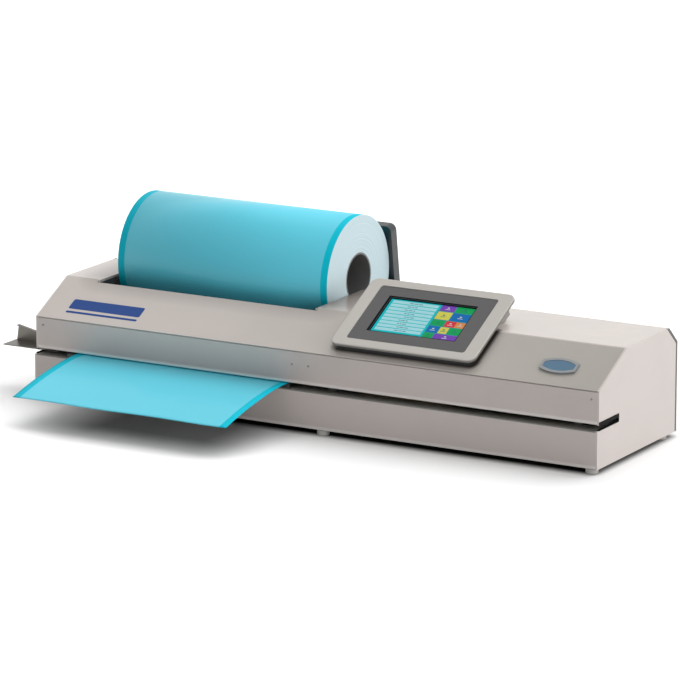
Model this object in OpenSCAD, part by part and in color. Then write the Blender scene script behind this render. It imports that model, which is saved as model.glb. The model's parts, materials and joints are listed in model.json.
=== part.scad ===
// Pouch sealing machine for sterile packaging, with a reel of film in a cradle on top.
// X runs along the machine, Y to the back and Z up. The origin is on the floor,
// under the middle of the machine's outer box.

/* [Housing] */
// Length of the housing to the right of the display's centre
tail_len = 354; // [340:1:420]
// Depth of the housing, from the upper front panel to the rear cover
body_depth = 275; // [268:1:300]
// Height of the housing above its underside
body_h = 174; // [170:0.5:190]
// Height of the lower housing, up to the pouch slot
lower_h = 61.5; // [58:0.5:66]
// Height of the pouch slot
slot_h = 8.5; // [8:0.1:10]
// Depth of the pouch slot
slot_depth = 68.5; // [66:0.5:69]
// Height of the crease between the upright front and the sloping cover
ridge_h = 124.5; // [120:0.5:130]
// Horizontal run of the sloping cover
slope_run = 94.5; // [90:0.5:98]
// Horizontal run of the bevel at the top rear
bevel_run = 30; // [26:0.5:34]
// Drop of the bevel at the top rear
bevel_drop = 27; // [22:0.5:32]
// How far the lower housing stands forward of the upper front
ledge_out = 5; // [3:0.5:8]
// Thickness of the folded sheet metal
sheet_t = 2; // [1.6:0.1:2.2]
// Thickness of the side plates
side_t = 3; // [2.5:0.1:3.5]
// Outer radius of the folds
bend_r = 4; // [3:0.5:5]
// Depth of the rear cover's lap over each side plate
rear_lap = 5; // [3:0.5:7]
// Width of the lip folded inwards under the upper front panel
lip_w = 16; // [10:0.5:20]
// Open seam between two sheets
seam = 0.5; // [0.3:0.1:0.8]

/* [Feet and screws] */
// Diameter of a foot
foot_d = 20; // [16:0.5:22]
// Height of a foot
foot_h = 8; // [6:0.5:12]
// Distance of the middle feet from the left side
mid_foot_x = 542; // [500:1:560]
// Distance of the end feet's centres from the sides
foot_inset = 13.5; // [12:0.5:20]
// Diameter of a panel screw's head
screw_head_d = 6; // [5:0.5:8]
// Diameter of a panel screw's shank
screw_d = 3; // [2.5:0.1:3.5]
// Distance of the end screws from the sides
end_screw_x = 13.5; // [12:0.5:18]
// Distance between the two middle screws
mid_screw_gap = 30; // [20:1:40]
// Distance of the middle screws' centre from the left side
mid_screw_x = 502; // [480:1:520]

/* [Reel] */
// Diameter of the wound film
reel_d = 206; // [200:1:207]
// Width of the film
reel_w = 400; // [390:1:401]
// Bore of the core
core_bore = 76.2; // [70:0.2:80]
// Wall of the core
core_wall = 3; // [2:0.5:6]
// Distance of the reel's left end from the left side
reel_left = 77; // [76:0.5:80]
// Distance of the reel's axis behind the upper front
reel_y = 233.5; // [232:0.5:236]
// Height of the reel's axis above the housing's underside
reel_h = 196.3; // [194:0.1:199]

/* [Reel cradle] */
// Gap between the film and the left edge of the cover's opening
left_gap = 10; // [8:0.5:14]
// Gap between the film and the right edge of the cover's opening
right_gap = 2.5; // [2:0.5:6]
// Front edge of the cover's opening, behind the upper front
opening_y = 88; // [86:0.5:90]
// Gap between the film and the curved shell under it
shell_gap = 3; // [2:0.5:5]
// Rim of the end walls outside the curved shell
wall_rim = 4; // [3:0.5:6]
// Front face of the cradle's front wall, behind the upper front
cradle_front = 91; // [90.5:0.5:92]
// Diameter of a support roller
roller_d = 24; // [20:0.5:26]
// Diameter of a support roller's shaft ends
roller_shaft_d = 8; // [6:0.5:10]
// Angle of each support roller from straight below the reel
roller_angle = 40; // [36:1:44]
// Gap between the film and what it rests on
rest_gap = 0.35; // [0.3:0.05:0.5]

/* [Backrest] */
// Forward lean of the backrest
backrest_lean = 8; // [5:0.5:10]
// Depth of the backrest's folded edge
backrest_depth = 18; // [14:0.5:22]
// Length of the backrest above the line where the reel touches it
backrest_up = 53.5; // [46:0.5:58]
// Length of the backrest below that line
backrest_down = 60; // [50:0.5:64]
// Radius of the backrest's upper corners
backrest_corner = 11; // [8:0.5:14]
// How far the backrest reaches past the cradle's end walls
backrest_past = 2.5; // [1:0.5:5]

/* [Film] */
// Thickness of the film web
film_t = 0.4; // [0.3:0.05:0.5]
// How far the film hangs out of the slot
film_out = 188; // [150:1:220]
// Drop of the film's free end below the slot
film_drop = 30.7; // [20:0.1:36]
// Height of the exit plate above the slot bed
exit_h = 6.2; // [6:0.05:6.3]
// How far the exit plate reaches past each edge of the film
exit_past = 11; // [4:0.5:13]
// Thickness of the exit plate
exit_t = 1.5; // [1:0.1:2]

/* [Infeed guide] */
// How far the guide reaches out of the left side
guide_out = 77; // [60:1:90]
// Distance of the guide's front edge behind the upper front
guide_y = 17; // [14:0.5:24]
// Width of the guide's tray
guide_w = 41; // [36:0.5:44]
// Height of the guide's fence at its outer end
guide_h = 27; // [20:0.5:32]
// Height of the guide's fence at the housing
guide_h_in = 12; // [9:0.5:16]
// Thickness of the guide
guide_t = 1.5; // [1:0.1:2]
// Wall of the rubber trim round the slot's ends
trim_t = 1.3; // [1:0.05:1.4]
// How far the trim stands out of a side plate
trim_proud = 0.8; // [0.5:0.1:1.5]
// Height of the trim's flange above the slot
trim_flange = 5; // [3:0.5:7]

/* [Feed and cutter] */
// Distance of the feed nip behind the upper front
feed_y = 104; // [103:0.5:106]
// Diameter of the driven feed roller
feed_d = 22; // [20:0.5:24]
// Diameter of the pinch roller
pinch_d = 18; // [16:0.5:19]
// Diameter of the pinch roller's shaft ends
pinch_shaft_d = 6; // [5:0.5:7]
// Side of the square feed motor
feed_motor_w = 28; // [24:0.5:30]
// Length of the feed motor
feed_motor_l = 45; // [38:0.5:50]
// Distance of the cut line behind the upper front
cut_y = 81; // [80:0.5:82]
// Width of the cutter rail
rail_w = 10; // [8:0.5:10]
// Height of the cutter rail
rail_h = 14; // [12:0.5:16]
// Height of the rail's underside above the anvil
rail_clear = 22.3; // [22:0.1:24]
// Length of the cutter carriage
carriage_l = 32; // [28:0.5:34]
// Diameter of the round blade
blade_d = 20; // [16:0.5:20]
// Thickness of the round blade
blade_t = 1; // [0.8:0.1:1.4]
// Distance of the parked blade outside the film's left edge
park_off = 29; // [27.5:0.5:30]
// How far the blade runs past the film's right edge
cut_past = 20; // [16:0.5:22]

/* [Seal unit] */
// Distance of the belts' right pulleys from the right side
seal_inset = 50; // [48:0.5:56]
// Distance of the belts' left pulleys to the right of the film
seal_off = 68; // [68:1:90]
// Diameter of the belt pulleys
pulley_d = 24; // [22:0.2:24.4]
// Thickness of the belts
belt_t = 1.2; // [1:0.1:1.4]
// Width of the belts
belt_w = 12; // [10:0.5:12]
// Distance of the belts behind the upper front
belt_y = 28; // [27:0.5:29]
// Gap between the two belts, where the pouch runs
belt_gap = 0.7; // [0.6:0.05:1]
// Diameter of the drive and idler shafts
drive_shaft_d = 8; // [6:0.5:8]
// Diameter of the press rollers
press_d = 18; // [16:0.5:20]
// Diameter of the press rollers' shafts
press_shaft_d = 6; // [5:0.5:6]
// Distance of the press rollers from the left pulleys
press_x = 285; // [250:1:320]
// Length of a heater block
heater_l = 160; // [120:1:170]
// Distance of the heater blocks from the left pulleys
heater_x = 55; // [40:1:70]
// Number of teeth on each sync gear
gear_teeth = 27; // [25:1:28]
// Thickness of the chassis plates
chassis_t = 3; // [2.5:0.1:3.2]

/* [Display] */
// Border of the frame at each side of the dark panel
frame_side = 24; // [18:0.5:30]
// Border of the frame above and below the dark panel
frame_ends = 17; // [16:0.5:19]
// Thickness of the display frame
display_t = 5; // [4.5:0.1:6]
// Height of the frame's face above the sloping cover
display_rise = 14.5; // [13.5:0.1:16]
// Distance of the display's centre from the cover's opening
display_off = 201.5; // [190:0.5:230]
// Distance of the frame's lower edge from the crease
display_low = 14; // [10:0.5:16]
// Corner radius of the display frame
display_corner = 14; // [8:0.5:18]
// Border of the dark panel at each side of the screen
panel_side = 30; // [26:0.5:36]
// Border of the dark panel above and below the screen
panel_ends = 25.75; // [23:0.25:28]
// Width of the visible screen
screen_w = 152; // [140:1:156]
// Height of the visible screen
screen_h = 81; // [76:1:84]
// How far the rear housing reaches past the screen at each side
back_past = 33; // [26:0.5:40]
// Depth of the display's rear housing behind its frame
back_depth = 36; // [30:0.5:38]
// Width of the badge
badge_w = 63; // [50:1:80]
// Height of the badge
badge_h = 34; // [28:1:44]
// How far the badge's top and bottom edges bow out
badge_bow = 7.5; // [4:0.5:10]
// Width of the badge's rim
badge_rim = 4.5; // [3:0.5:6]
// Height of the badge above the cover
badge_t = 3.4; // [2:0.1:4]
// Distance of the badge's centre from the right side
badge_inset = 88.5; // [80:0.5:110]

/* [Rear] */
// Distance of the mains inlet from the right side
inlet_inset = 105; // [95:1:125]
// Height of the inlet and switch above the housing's underside
inlet_h = 37; // [32:0.5:44]
// Distance between the inlet and the power switch
switch_gap = 45; // [42:0.5:50]
// Length of the power supply
supply_l = 120; // [100:1:130]
// Depth of the power supply
supply_d = 105; // [90:1:110]
// Height of the power supply
supply_h = 38; // [30:1:45]
// Distance of the power supply from the right side
supply_inset = 85; // [80:1:95]
// Length of the main board
board_l = 210; // [180:1:220]
// Depth of the main board
board_d = 100; // [90:1:105]
// Height of the main board on its posts
board_lift = 8; // [6:0.5:12]
// Space between the rear cover and what stands in front of it
rear_room = 40; // [36:0.5:44]
// Side of the square fan
fan_w = 80; // [76:0.5:84]
// Depth of the fan
fan_d = 25; // [20:0.5:28]
// Distance of the fan's axis to the right of the display's centre
fan_off = 19; // [0:1:40]
// Height of the fan's axis above the housing's underside
fan_h = 92; // [88:0.5:94]
// Width of a vent slot
vent_w = 3; // [2:0.5:4]
// Length of a vent slot
vent_l = 34; // [26:1:40]

/* [Hidden] */
$fn = 48;

// Clearances: a turning fit in a bore, a hand gap and a film gap
fit = 0.05;
gap = 0.3;
e = 0.01;

// Length: the reel, then the display, then the tail
open_l = reel_left - left_gap;
reel_right = reel_left + reel_w;
open_r = reel_right + right_gap;
display_x = open_r + display_off;
body_len = display_x + tail_len;

// Levels
z_under = foot_h;
z_base = z_under + sheet_t;
z_bed = z_under + lower_h;
z_lip = z_bed + slot_h;
z_ceil = z_lip + sheet_t;
z_ridge = z_under + ridge_h;
z_deck = z_under + body_h;
slope = atan2(z_deck - z_ridge, slope_run);

// Bevel at the top rear: its outward normal and its direction down
bevel_y = body_depth - bevel_run;
bevel_len = norm([bevel_run, bevel_drop]);
bevel_n = [bevel_drop, bevel_run] / bevel_len;
bevel_d = [bevel_run, -bevel_drop] / bevel_len;
bevel_low = [body_depth, z_deck - bevel_drop];
function inside_bevel(k) = bevel_low - k * (bevel_n + [1, 0]) / (1 + bevel_n[0]);

// Reel, its rollers and its opening
reel_r = reel_d / 2;
reel_z = z_under + reel_h;
reel_axis = [reel_y, reel_z];
shell_r = reel_r + shell_gap;
wall_r = shell_r + sheet_t + wall_rim;
roller_r = roller_d / 2;
film_nip = film_t + 2 * rest_gap;
front_roller = reel_axis
    + (reel_r + roller_r + film_nip) * [-sin(roller_angle), -cos(roller_angle)];
rear_roller = reel_axis
    + (reel_r + roller_r + rest_gap) * [sin(roller_angle), -cos(roller_angle)];
// How far the cradle's walls, its overhang and the guard strip stop short of what is near
wall_drop = 11;
overhang_drop = 4;
wall_back = 13;
guard_lift = 32;
side_fold = 4;
wall_top = z_deck - wall_drop;
side_top = z_deck - side_fold - 1;
guard_z = z_bed + guard_lift;
overhang_top = z_deck - overhang_drop;
wall_rear = body_depth - wall_back;
shell_high = -16;
cradle_tab = 15;
shaft_past = 3;
function lean_y(z) = reel_y
    + (reel_r + rest_gap - (z - reel_z) * sin(backrest_lean)) / cos(backrest_lean);
rear_cut_z = reel_z - sqrt(pow(wall_r, 2) - pow(body_depth - sheet_t - reel_y, 2)) - 2;

// Film web
exit_top = z_bed + exit_h;
web_z = exit_top + gap + film_t / 2;
feed_r = feed_d / 2;
pinch_r = pinch_d / 2;
feed_axis = [feed_y, web_z - film_t / 2 - rest_gap - feed_r];
pinch_axis = [feed_y, web_z + film_t / 2 + rest_gap + pinch_r];
pinch_wrap_r = pinch_r + rest_gap + film_t / 2;
roller_wrap_r = roller_r + rest_gap + film_t / 2;
web_run = front_roller - pinch_axis;
web_turn = atan2(web_run[1], web_run[0])
    - acos(-(roller_wrap_r - pinch_wrap_r) / norm(web_run));
film_bend_y = -5;
droop_power = 1.5;
droop_k = film_drop / pow(film_out + film_bend_y, droop_power);

// Cutter
rail_z = exit_top + rail_clear;
blade_r = blade_d / 2;
blade_z = web_z + film_t / 2 + gap + blade_r;
park_x = reel_left - park_off;
cut_travel = park_off + reel_w + cut_past;
rail_l = park_x - carriage_l / 2 - 2;
rail_r = park_x + cut_travel + carriage_l / 2 + 2;
bracket_t = 8;
bed_tail = 12;
wheel_shaft_d = 4;
rail_groove_low = 5;
rail_groove_h = 4;
carriage_wall = 2.5;
groove = 1.5;

// Badge
badge_low = 4;
inlay_t = 1;
inlay_sunk = 0.4;

// Seal unit
seal_r_x = body_len - seal_inset;
seal_l_x = reel_right + seal_off;
belt_span = seal_r_x - seal_l_x;
pouch_z = (z_bed + z_lip) / 2;
pulley_r = pulley_d / 2;
belt_in_r = pulley_r + gap;
lower_axis_z = pouch_z - belt_gap / 2 - belt_t - belt_in_r;
upper_axis_z = pouch_z + belt_gap / 2 + belt_t + belt_in_r;
press_r = press_d / 2;
lower_press_z = pouch_z - belt_gap / 2 - belt_t - gap - press_r;
upper_press_z = pouch_z + belt_gap / 2 + belt_t + gap + press_r;
press_at = seal_l_x + press_x;
belt_room = 6;
chassis_past_l = 20;
chassis_past_r = 27;
chassis_y = belt_y + belt_w + belt_room;
chassis_web_y = slot_depth + sheet_t + seam;
chassis_l = seal_l_x - chassis_past_l;
chassis_r = seal_r_x + chassis_past_r;
boss_wall = 2.5;
boss_l = 9;
gear_room = 2;
motor_room = 5;
gear_t = 6;
gear_y = chassis_web_y + chassis_t + gear_room;
motor_y = gear_y + gear_t + motor_room;
bracket_w = 2 * pulley_d + 2;

// Display, in the plane of the sloping cover
panel_w = screen_w + 2 * panel_side;
panel_h = screen_h + 2 * panel_ends;
display_w = panel_w + 2 * frame_side;
display_h = panel_h + 2 * frame_ends;
display_s = display_low + display_h / 2;
frame_back = display_rise - display_t;
back_w = screen_w + 2 * back_past;
back_low = 8;
back_h = display_h - back_low - 3;
panel_t = 1.4;
panel_sink = 0.6;
screen_t = 3;
screen_sink = 1.1;
fan_x = display_x + fan_off;
screen_edge_w = 4;
screen_edge_h = 5;
screen_w_out = screen_w + 2 * screen_edge_w;
screen_h_out = screen_h + 2 * screen_edge_h;
panel_corner = 5;
panel_window = 1.5;

// Outer box and origin
mid_x = (body_len + trim_proud - guide_out) / 2;
rear_most = reel_y + (reel_r + rest_gap + backrest_depth) * cos(backrest_lean)
    + backrest_down * sin(backrest_lean);
mid_y = (rear_most - film_out) / 2;

module place() {
    translate([-mid_x, -mid_y, 0]) children();
}

// A profile drawn in Y and Z, pulled along X
module along_x(from, to) {
    translate([from, 0, 0]) rotate([90, 0, 90]) linear_extrude(to - from) children();
}

// A profile drawn in X and Z, pulled along Y
module along_y(from, to) {
    translate([0, to, 0]) rotate([90, 0, 0]) linear_extrude(to - from) children();
}

module x_rod(d, from, to, at) {
    translate([from, at[0], at[1]]) rotate([0, 90, 0]) cylinder(d = d, h = to - from);
}

module y_rod(d, from, to, at) {
    translate([at[0], from, at[1]]) rotate([-90, 0, 0]) cylinder(d = d, h = to - from);
}

module round_rect(w, h, r) {
    square([w - 2 * r, h], center = true);
    square([w, h - 2 * r], center = true);
    for (sx = [-1, 1], sy = [-1, 1])
        translate([sx * (w / 2 - r), sy * (h / 2 - r)]) circle(r);
}

// The outer fold of a sheet, with its two legs running to +u and +v
module fold(leg_u, leg_v) {
    translate([bend_r, 0]) square([leg_u - bend_r, sheet_t]);
    translate([0, bend_r]) square([sheet_t, leg_v - bend_r]);
    translate([bend_r, bend_r]) intersection() {
        difference() {
            circle(bend_r);
            circle(bend_r - sheet_t);
        }
        translate([-bend_r, -bend_r]) square(bend_r);
    }
}

// Local X, distance up the slope and height above the sloping cover
module on_slope() {
    translate([0, 0, z_ridge]) rotate([slope, 0, 0]) children();
}

// Housing

rear_flange = 18;
tab_w = 20;
tab_room = 10;
tab_drop = 12;
end_screw_drop = 14;
mid_screw_drop = 23;
screw_play = 0.4;
screw_head_t = 0.8;
rear_foot_in = 30;

module base_housing() color("#9f9691") place() {
    inside = body_depth - sheet_t;
    along_x(side_t, body_len - side_t) {
        translate([-ledge_out, z_under])
            fold(inside + ledge_out, z_bed - sheet_t - z_under);
        translate([inside - sheet_t, z_under]) square([sheet_t, rear_flange]);
    }
}

module side_profile() {
    k = rear_lap + seam;
    polygon([[-ledge_out, z_under], [-ledge_out, z_bed], [slot_depth, z_bed],
        [slot_depth, z_lip], [0, z_lip], [0, z_ridge], [slope_run, z_deck],
        [bevel_y - k / bevel_n[0], z_deck], inside_bevel(k), [body_depth - k, z_under]]);
}

module side_plate(x, inward) {
    tab_low = z_ceil + tab_room;
    tab_h = z_ridge - tab_drop - tab_low;
    along_x(x, x + side_t) side_profile();
    translate([inward > 0 ? x : x + side_t - tab_w - side_t, sheet_t, tab_low])
        difference() {
            cube([tab_w + side_t, sheet_t, tab_h]);
            translate([inward > 0 ? end_screw_x : tab_w + side_t - end_screw_x, -e,
                z_ridge - end_screw_drop - tab_low])
                rotate([-90, 0, 0]) cylinder(d = screw_d + screw_play, h = sheet_t + 2 * e);
        }
}

module left_side_plate() color("#dcd2d0") place() side_plate(0, 1);

module right_side_plate() color("#dcd2d0") place() side_plate(body_len - side_t, -1);

// Where the four screws of the upper front panel are, in X and Z
panel_screw_spots = [[end_screw_x, z_ridge - end_screw_drop],
    [mid_screw_x - mid_screw_gap / 2, z_ridge - mid_screw_drop],
    [mid_screw_x + mid_screw_gap / 2, z_ridge - mid_screw_drop],
    [body_len - end_screw_x, z_ridge - end_screw_drop]];

module upper_front_panel() color("#9f9691") place() difference() {
    along_x(side_t, body_len - side_t)
        translate([0, z_lip])
            fold(lip_w, z_ridge - z_lip - sheet_t * cos(slope) - seam);
    for (p = panel_screw_spots)
        y_rod(screw_d + screw_play, -e, sheet_t + e, p);
}

module panel_screws() color("#77716d") place()
    for (p = panel_screw_spots) {
        y_rod(screw_head_d, -screw_head_t, 0, p);
        y_rod(screw_d, -e, 2 * sheet_t + 4, p);
    }

module top_cover() color("#beb8b2") place() {
    flange = 10;
    front_z = z_ridge + opening_y * tan(slope) - sheet_t;
    difference() {
        union() {
            along_x(side_t, body_len - side_t)
                polygon([[0, z_ridge], [slope_run, z_deck], [bevel_y, z_deck],
                    [bevel_y, z_deck - sheet_t],
                    [slope_run + sheet_t * tan(slope / 2), z_deck - sheet_t],
                    [sheet_t * sin(slope), z_ridge - sheet_t * cos(slope)]]);
            translate([open_l - sheet_t, opening_y - sheet_t, front_z - flange])
                cube([open_r - open_l + 2 * sheet_t, sheet_t, flange]);
            for (x = [open_l - sheet_t, open_r])
                translate([x, opening_y - e, z_deck - side_fold])
                    cube([sheet_t, bevel_y - opening_y + e, side_fold - e]);
        }
        translate([open_l, opening_y, z_deck - 2 * flange])
            cube([open_r - open_l, body_depth, 4 * flange]);
        translate([open_l - 2 * sheet_t, opening_y - 2 * sheet_t, z_deck])
            cube([open_r - open_l + 4 * sheet_t, body_depth, flange]);
        on_slope()
            translate([display_x - back_w / 2 - seam, display_low + back_low - seam,
                frame_back - back_depth - seam])
                cube([back_w + 2 * seam, back_h + 2 * seam, back_depth + 2 * seam]);
    }
}

grille_rim = 5;
grille_pitch = 8;
vent_bar = 5;
vent_off = 80;

module fan_grille() {
    intersection() {
        circle(d = fan_w - 2 * grille_rim);
        for (i = [-4:4])
            translate([i * grille_pitch, 0]) square([vent_w + 1, fan_w], center = true);
    }
}

// The inlet and the switch behind their rims, and the room round them in the rear cover
inlet_body = [27.4, 20.4];
switch_body = [13.6, 19.6];
snap_room = 0.3;
snap_w = 0.2;

module rear_cover() color("#5b5553") place() {
    start = [bevel_y, z_deck] + sheet_t * bevel_d;
    inner = inside_bevel(sheet_t);
    lap = inside_bevel(rear_lap);
    in_y = body_depth - sheet_t;
    rear_z = z_under + inlet_h;
    difference() {
        union() {
            along_x(0, body_len)
                polygon([start, bevel_low, [body_depth, z_under], [in_y, z_under],
                    inner, start - sheet_t * bevel_n]);
            for (x = [0, body_len - sheet_t])
                along_x(x, x + sheet_t)
                    polygon([[bevel_y, z_deck], bevel_low, [body_depth, z_under],
                        [body_depth - rear_lap, z_under], lap,
                        [bevel_y - rear_lap / bevel_n[0], z_deck]]);
        }
        translate([open_l - 2 * sheet_t, bevel_y - 20, rear_cut_z])
            cube([open_r - open_l + 4 * sheet_t, 80, z_deck]);
        along_y(in_y - 1, body_depth + 1) {
            translate([fan_x, z_under + fan_h]) fan_grille();
            for (i = [0:8])
                translate([fan_x + vent_off + i * (vent_w + vent_bar), z_under + fan_h])
                    square([vent_w, vent_l], center = true);
            translate([body_len - inlet_inset, rear_z])
                square(inlet_body + 2 * snap_room * [1, 1], center = true);
            translate([body_len - inlet_inset + switch_gap, rear_z])
                square(switch_body + 2 * snap_w * [1, 1], center = true);
        }
    }
}

module feet() color("#c9c6c2") place()
    for (x = [foot_inset, mid_foot_x, body_len - foot_inset],
            y = [foot_d / 2 - ledge_out, body_depth - rear_foot_in])
        translate([x, y, 0]) rotate_extrude()
            polygon([[0, 0], [foot_d / 2 - 1, 0], [foot_d / 2, 1], [foot_d / 2, foot_h],
                [0, foot_h]]);

// Pouch slot

module slot_trim(from, to, outer) {
    along_x(from, to) difference() {
        translate([0, z_bed]) square([slot_depth, slot_h]);
        translate([-1, z_bed + trim_t])
            square([slot_depth - trim_t + 1, slot_h - 2 * trim_t]);
    }
    along_x(outer, outer + trim_proud)
        translate([0, z_lip - e]) square([slot_depth, trim_flange + e]);
}

module left_slot_trim() color("#1b1a1a") place()
    slot_trim(-trim_proud, side_t, -trim_proud);

module right_slot_trim() color("#1b1a1a") place()
    slot_trim(body_len - side_t, body_len + trim_proud, body_len);

module slot_bed() color("#45433f") place() {
    window = pulley_r + belt_t + 5;
    difference() {
        along_x(side_t, body_len - side_t)
            translate([-ledge_out, z_bed - sheet_t])
                square([ledge_out + slot_depth + sheet_t, sheet_t]);
        translate([seal_l_x - window, belt_y - 2, z_bed - 2 * sheet_t])
            cube([belt_span + 2 * window, chassis_y - belt_y + 2, 4 * sheet_t]);
        for (x = [seal_l_x, press_at, seal_r_x])
            translate([x - 8, chassis_y - 1, z_bed - 2 * sheet_t])
                cube([16, chassis_t + boss_l + 2, 4 * sheet_t]);
    }
    along_x(side_t, chassis_l - seam)
        translate([slot_depth, z_bed - bed_tail]) square([sheet_t, bed_tail - e]);
}

module film_exit_plate() color("#33373a") place()
    along_x(reel_left - exit_past - 4, reel_right + exit_past - 4) {
        front = -ledge_out + 1;
        rear = slot_depth + sheet_t;
        translate([front + exit_t, exit_top - exit_t])
            square([rear - front - exit_t, exit_t]);
        polygon([[front, z_bed], [front + exit_t, z_bed], [front + 2 * exit_t, exit_top],
            [front + exit_t, exit_top]]);
        translate([rear - exit_t, z_bed]) square([exit_t, exit_h]);
    }

module infeed_guide() color("#a8a9a6") place() {
    floor_z = z_bed + trim_t;
    rear = guide_y + guide_w;
    lean_in = 4;
    lip = 5;
    run = guide_out - lean_in;
    fall = atan2(guide_h - guide_h_in, run);
    translate([-guide_out, guide_y, floor_z]) cube([guide_out + 30, guide_w + guide_t, guide_t]);
    along_y(rear, rear + guide_t)
        polygon([[-guide_out, floor_z], [-run, floor_z + guide_h],
            [-trim_proud, floor_z + guide_h_in], [-trim_proud, floor_z]]);
    translate([-run, rear + guide_t, floor_z + guide_h]) rotate([90, fall, 0])
        linear_extrude(lip + guide_t)
            polygon([[0, -guide_t], [0, 0], [run / cos(fall) - 2, 0],
                [run / cos(fall) - 2, -guide_t]]);
}

// Reel and its cradle

module cradle_wall_profile() {
    difference() {
        union() {
            translate([cradle_front, z_base])
                square([wall_rear - cradle_front, wall_top - z_base]);
            translate([cradle_front, wall_top - e])
                square([bevel_y - sheet_t - cradle_front, side_top - wall_top + e]);
            intersection() {
                translate(reel_axis) circle(wall_r, $fn = 96);
                polygon([[wall_rear - 30, z_base], [lean_y(z_base), z_base],
                    [lean_y(overhang_top), overhang_top], [wall_rear - 12, overhang_top],
                    [wall_rear - 12, wall_top], [wall_rear - 30, wall_top]]);
            }
        }
        translate(front_roller) circle(d = roller_shaft_d + 2 * fit);
        translate(rear_roller) circle(d = roller_shaft_d + 2 * fit);
        translate(feed_axis) circle(d = roller_shaft_d + 2 * fit);
        translate(pinch_axis) circle(d = pinch_shaft_d + 2 * fit);
    }
}

// A stretch of the curved shell, between two angles seen from the reel's axis
module shell_arc(from, to) {
    far = 2 * shell_r;
    intersection() {
        translate(reel_axis) difference() {
            circle(shell_r + sheet_t, $fn = 96);
            circle(shell_r, $fn = 96);
        }
        translate(reel_axis)
            polygon([[0, 0], far * [cos(from), sin(from)],
                far * [cos((from + to) / 2), sin((from + to) / 2)],
                far * [cos(to), sin(to)]]);
    }
}

module reel_cradle() color("#34373a") place() {
    clear = asin((roller_r + 5) / reel_r);
    for (x = [open_l - sheet_t, open_r])
        along_x(x, x + sheet_t) cradle_wall_profile();
    along_x(open_l - e, open_r + e) {
        shell_arc(-90 - roller_angle + clear, -90 + roller_angle - clear);
        shell_arc(-90 + roller_angle + clear, shell_high);
    }
    // A guard strip of its own between the walls, in front of the film
    along_x(open_l + seam, open_r - seam)
        translate([cradle_front, guard_z]) square([sheet_t, wall_top - guard_z]);
    for (x = [open_l - cradle_tab, open_r])
        translate([x, cradle_front + 6, z_base])
            cube([cradle_tab, wall_rear - cradle_front - 20, sheet_t]);
}

module backrest_outline(inset) {
    left = open_l - sheet_t - backrest_past + inset;
    right = open_r + sheet_t + backrest_past - inset;
    top = backrest_up - inset;
    r = backrest_corner - inset;
    low = -backrest_down - (inset > 0 ? 1 : 0);
    translate([left, low]) square([right - left, top - r - low]);
    translate([left + r, top - 2 * r]) square([right - left - 2 * r, 2 * r]);
    for (x = [left + r, right - r])
        translate([x, top - r]) circle(r);
}

module backrest() color("#1d2324") place()
    translate([0, reel_y, reel_z]) rotate([backrest_lean, 0, 0]) {
        face = reel_r + rest_gap;
        difference() {
            along_y(face, face + backrest_depth) backrest_outline(0);
            along_y(face + sheet_t, face + backrest_depth + 1) backrest_outline(sheet_t);
        }
    }

module reel_film() color("#57bfd2") place() difference() {
    x_rod(reel_d, reel_left, reel_right, reel_axis, $fn = 96);
    x_rod(core_bore + 2 * core_wall, reel_left - 1, reel_right + 1, reel_axis);
}

module reel_core() color("#c6d8da") place() difference() {
    x_rod(core_bore + 2 * core_wall, reel_left, reel_right, reel_axis);
    x_rod(core_bore, reel_left - 1, reel_right + 1, reel_axis);
}

module support_roller(at) {
    x_rod(roller_d, open_l + 3, open_r - 3 + 1, at);
    x_rod(roller_shaft_d, open_l - sheet_t - shaft_past, open_r + sheet_t + shaft_past, at);
}

module front_support_roller() color("#6e7376") place() support_roller(front_roller);

module rear_support_roller() color("#6e7376") place() support_roller(rear_roller);

// Film web: off the reel, round the front roller, through the nip and out

arc_steps = 8;
free_steps = 14;
function droop_z(y) =
    y > film_bend_y ? web_z : web_z - droop_k * pow(film_bend_y - y, droop_power);
function wrap(c, r, a0, a1) = [for (i = [0:arc_steps])
    let (a = a0 + (a1 - a0) * i / arc_steps) c + r * [cos(a), sin(a)]];
function web_side(side) = concat(
    wrap(front_roller, roller_wrap_r + side * film_t / 2, 90 - roller_angle, web_turn),
    wrap(pinch_axis, pinch_wrap_r + side * film_t / 2, web_turn, -90),
    [for (i = [0:free_steps])
        let (y = film_bend_y - (film_out + film_bend_y) * i / free_steps)
        [y, droop_z(y) - side * film_t / 2]]);

module film_web() color("#7dd5e6") place()
    along_x(reel_left, reel_right)
        polygon(concat(web_side(1), [for (i = [len(web_side(-1)) - 1:-1:0]) web_side(-1)[i]]));

module feed_roller() color("#3a3c3e") place() {
    x_rod(feed_d, reel_left - 6, reel_right, feed_axis);
    x_rod(roller_shaft_d, open_l - sheet_t - shaft_past, open_r + sheet_t + 12, feed_axis);
}

module pinch_roller() color("#8b8f92") place() {
    x_rod(pinch_d, reel_left - 6, reel_right, pinch_axis);
    x_rod(pinch_shaft_d, open_l - sheet_t - shaft_past, open_r + sheet_t + shaft_past,
        pinch_axis);
}

module feed_motor() color("#4c4f52") place() difference() {
    union() {
        along_x(open_r + sheet_t, open_r + sheet_t + feed_motor_l)
            translate(feed_axis) round_rect(feed_motor_w, feed_motor_w, 4);
        x_rod(12, open_r + sheet_t + feed_motor_l - e, open_r + sheet_t + feed_motor_l + 2,
            feed_axis);
    }
    x_rod(roller_shaft_d + 2 * fit, open_r, open_r + sheet_t + 14, feed_axis);
}

// Cutter

module cutter_rail() color("#b9bcbd") place()
    along_x(rail_l, rail_r) difference() {
        translate([cut_y - rail_w / 2, rail_z]) square([rail_w, rail_h]);
        for (side = [-1, 1])
            translate([cut_y + side * rail_w / 2 - groove, rail_z + rail_groove_low])
                square([2 * groove, rail_groove_h]);
    }

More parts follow.
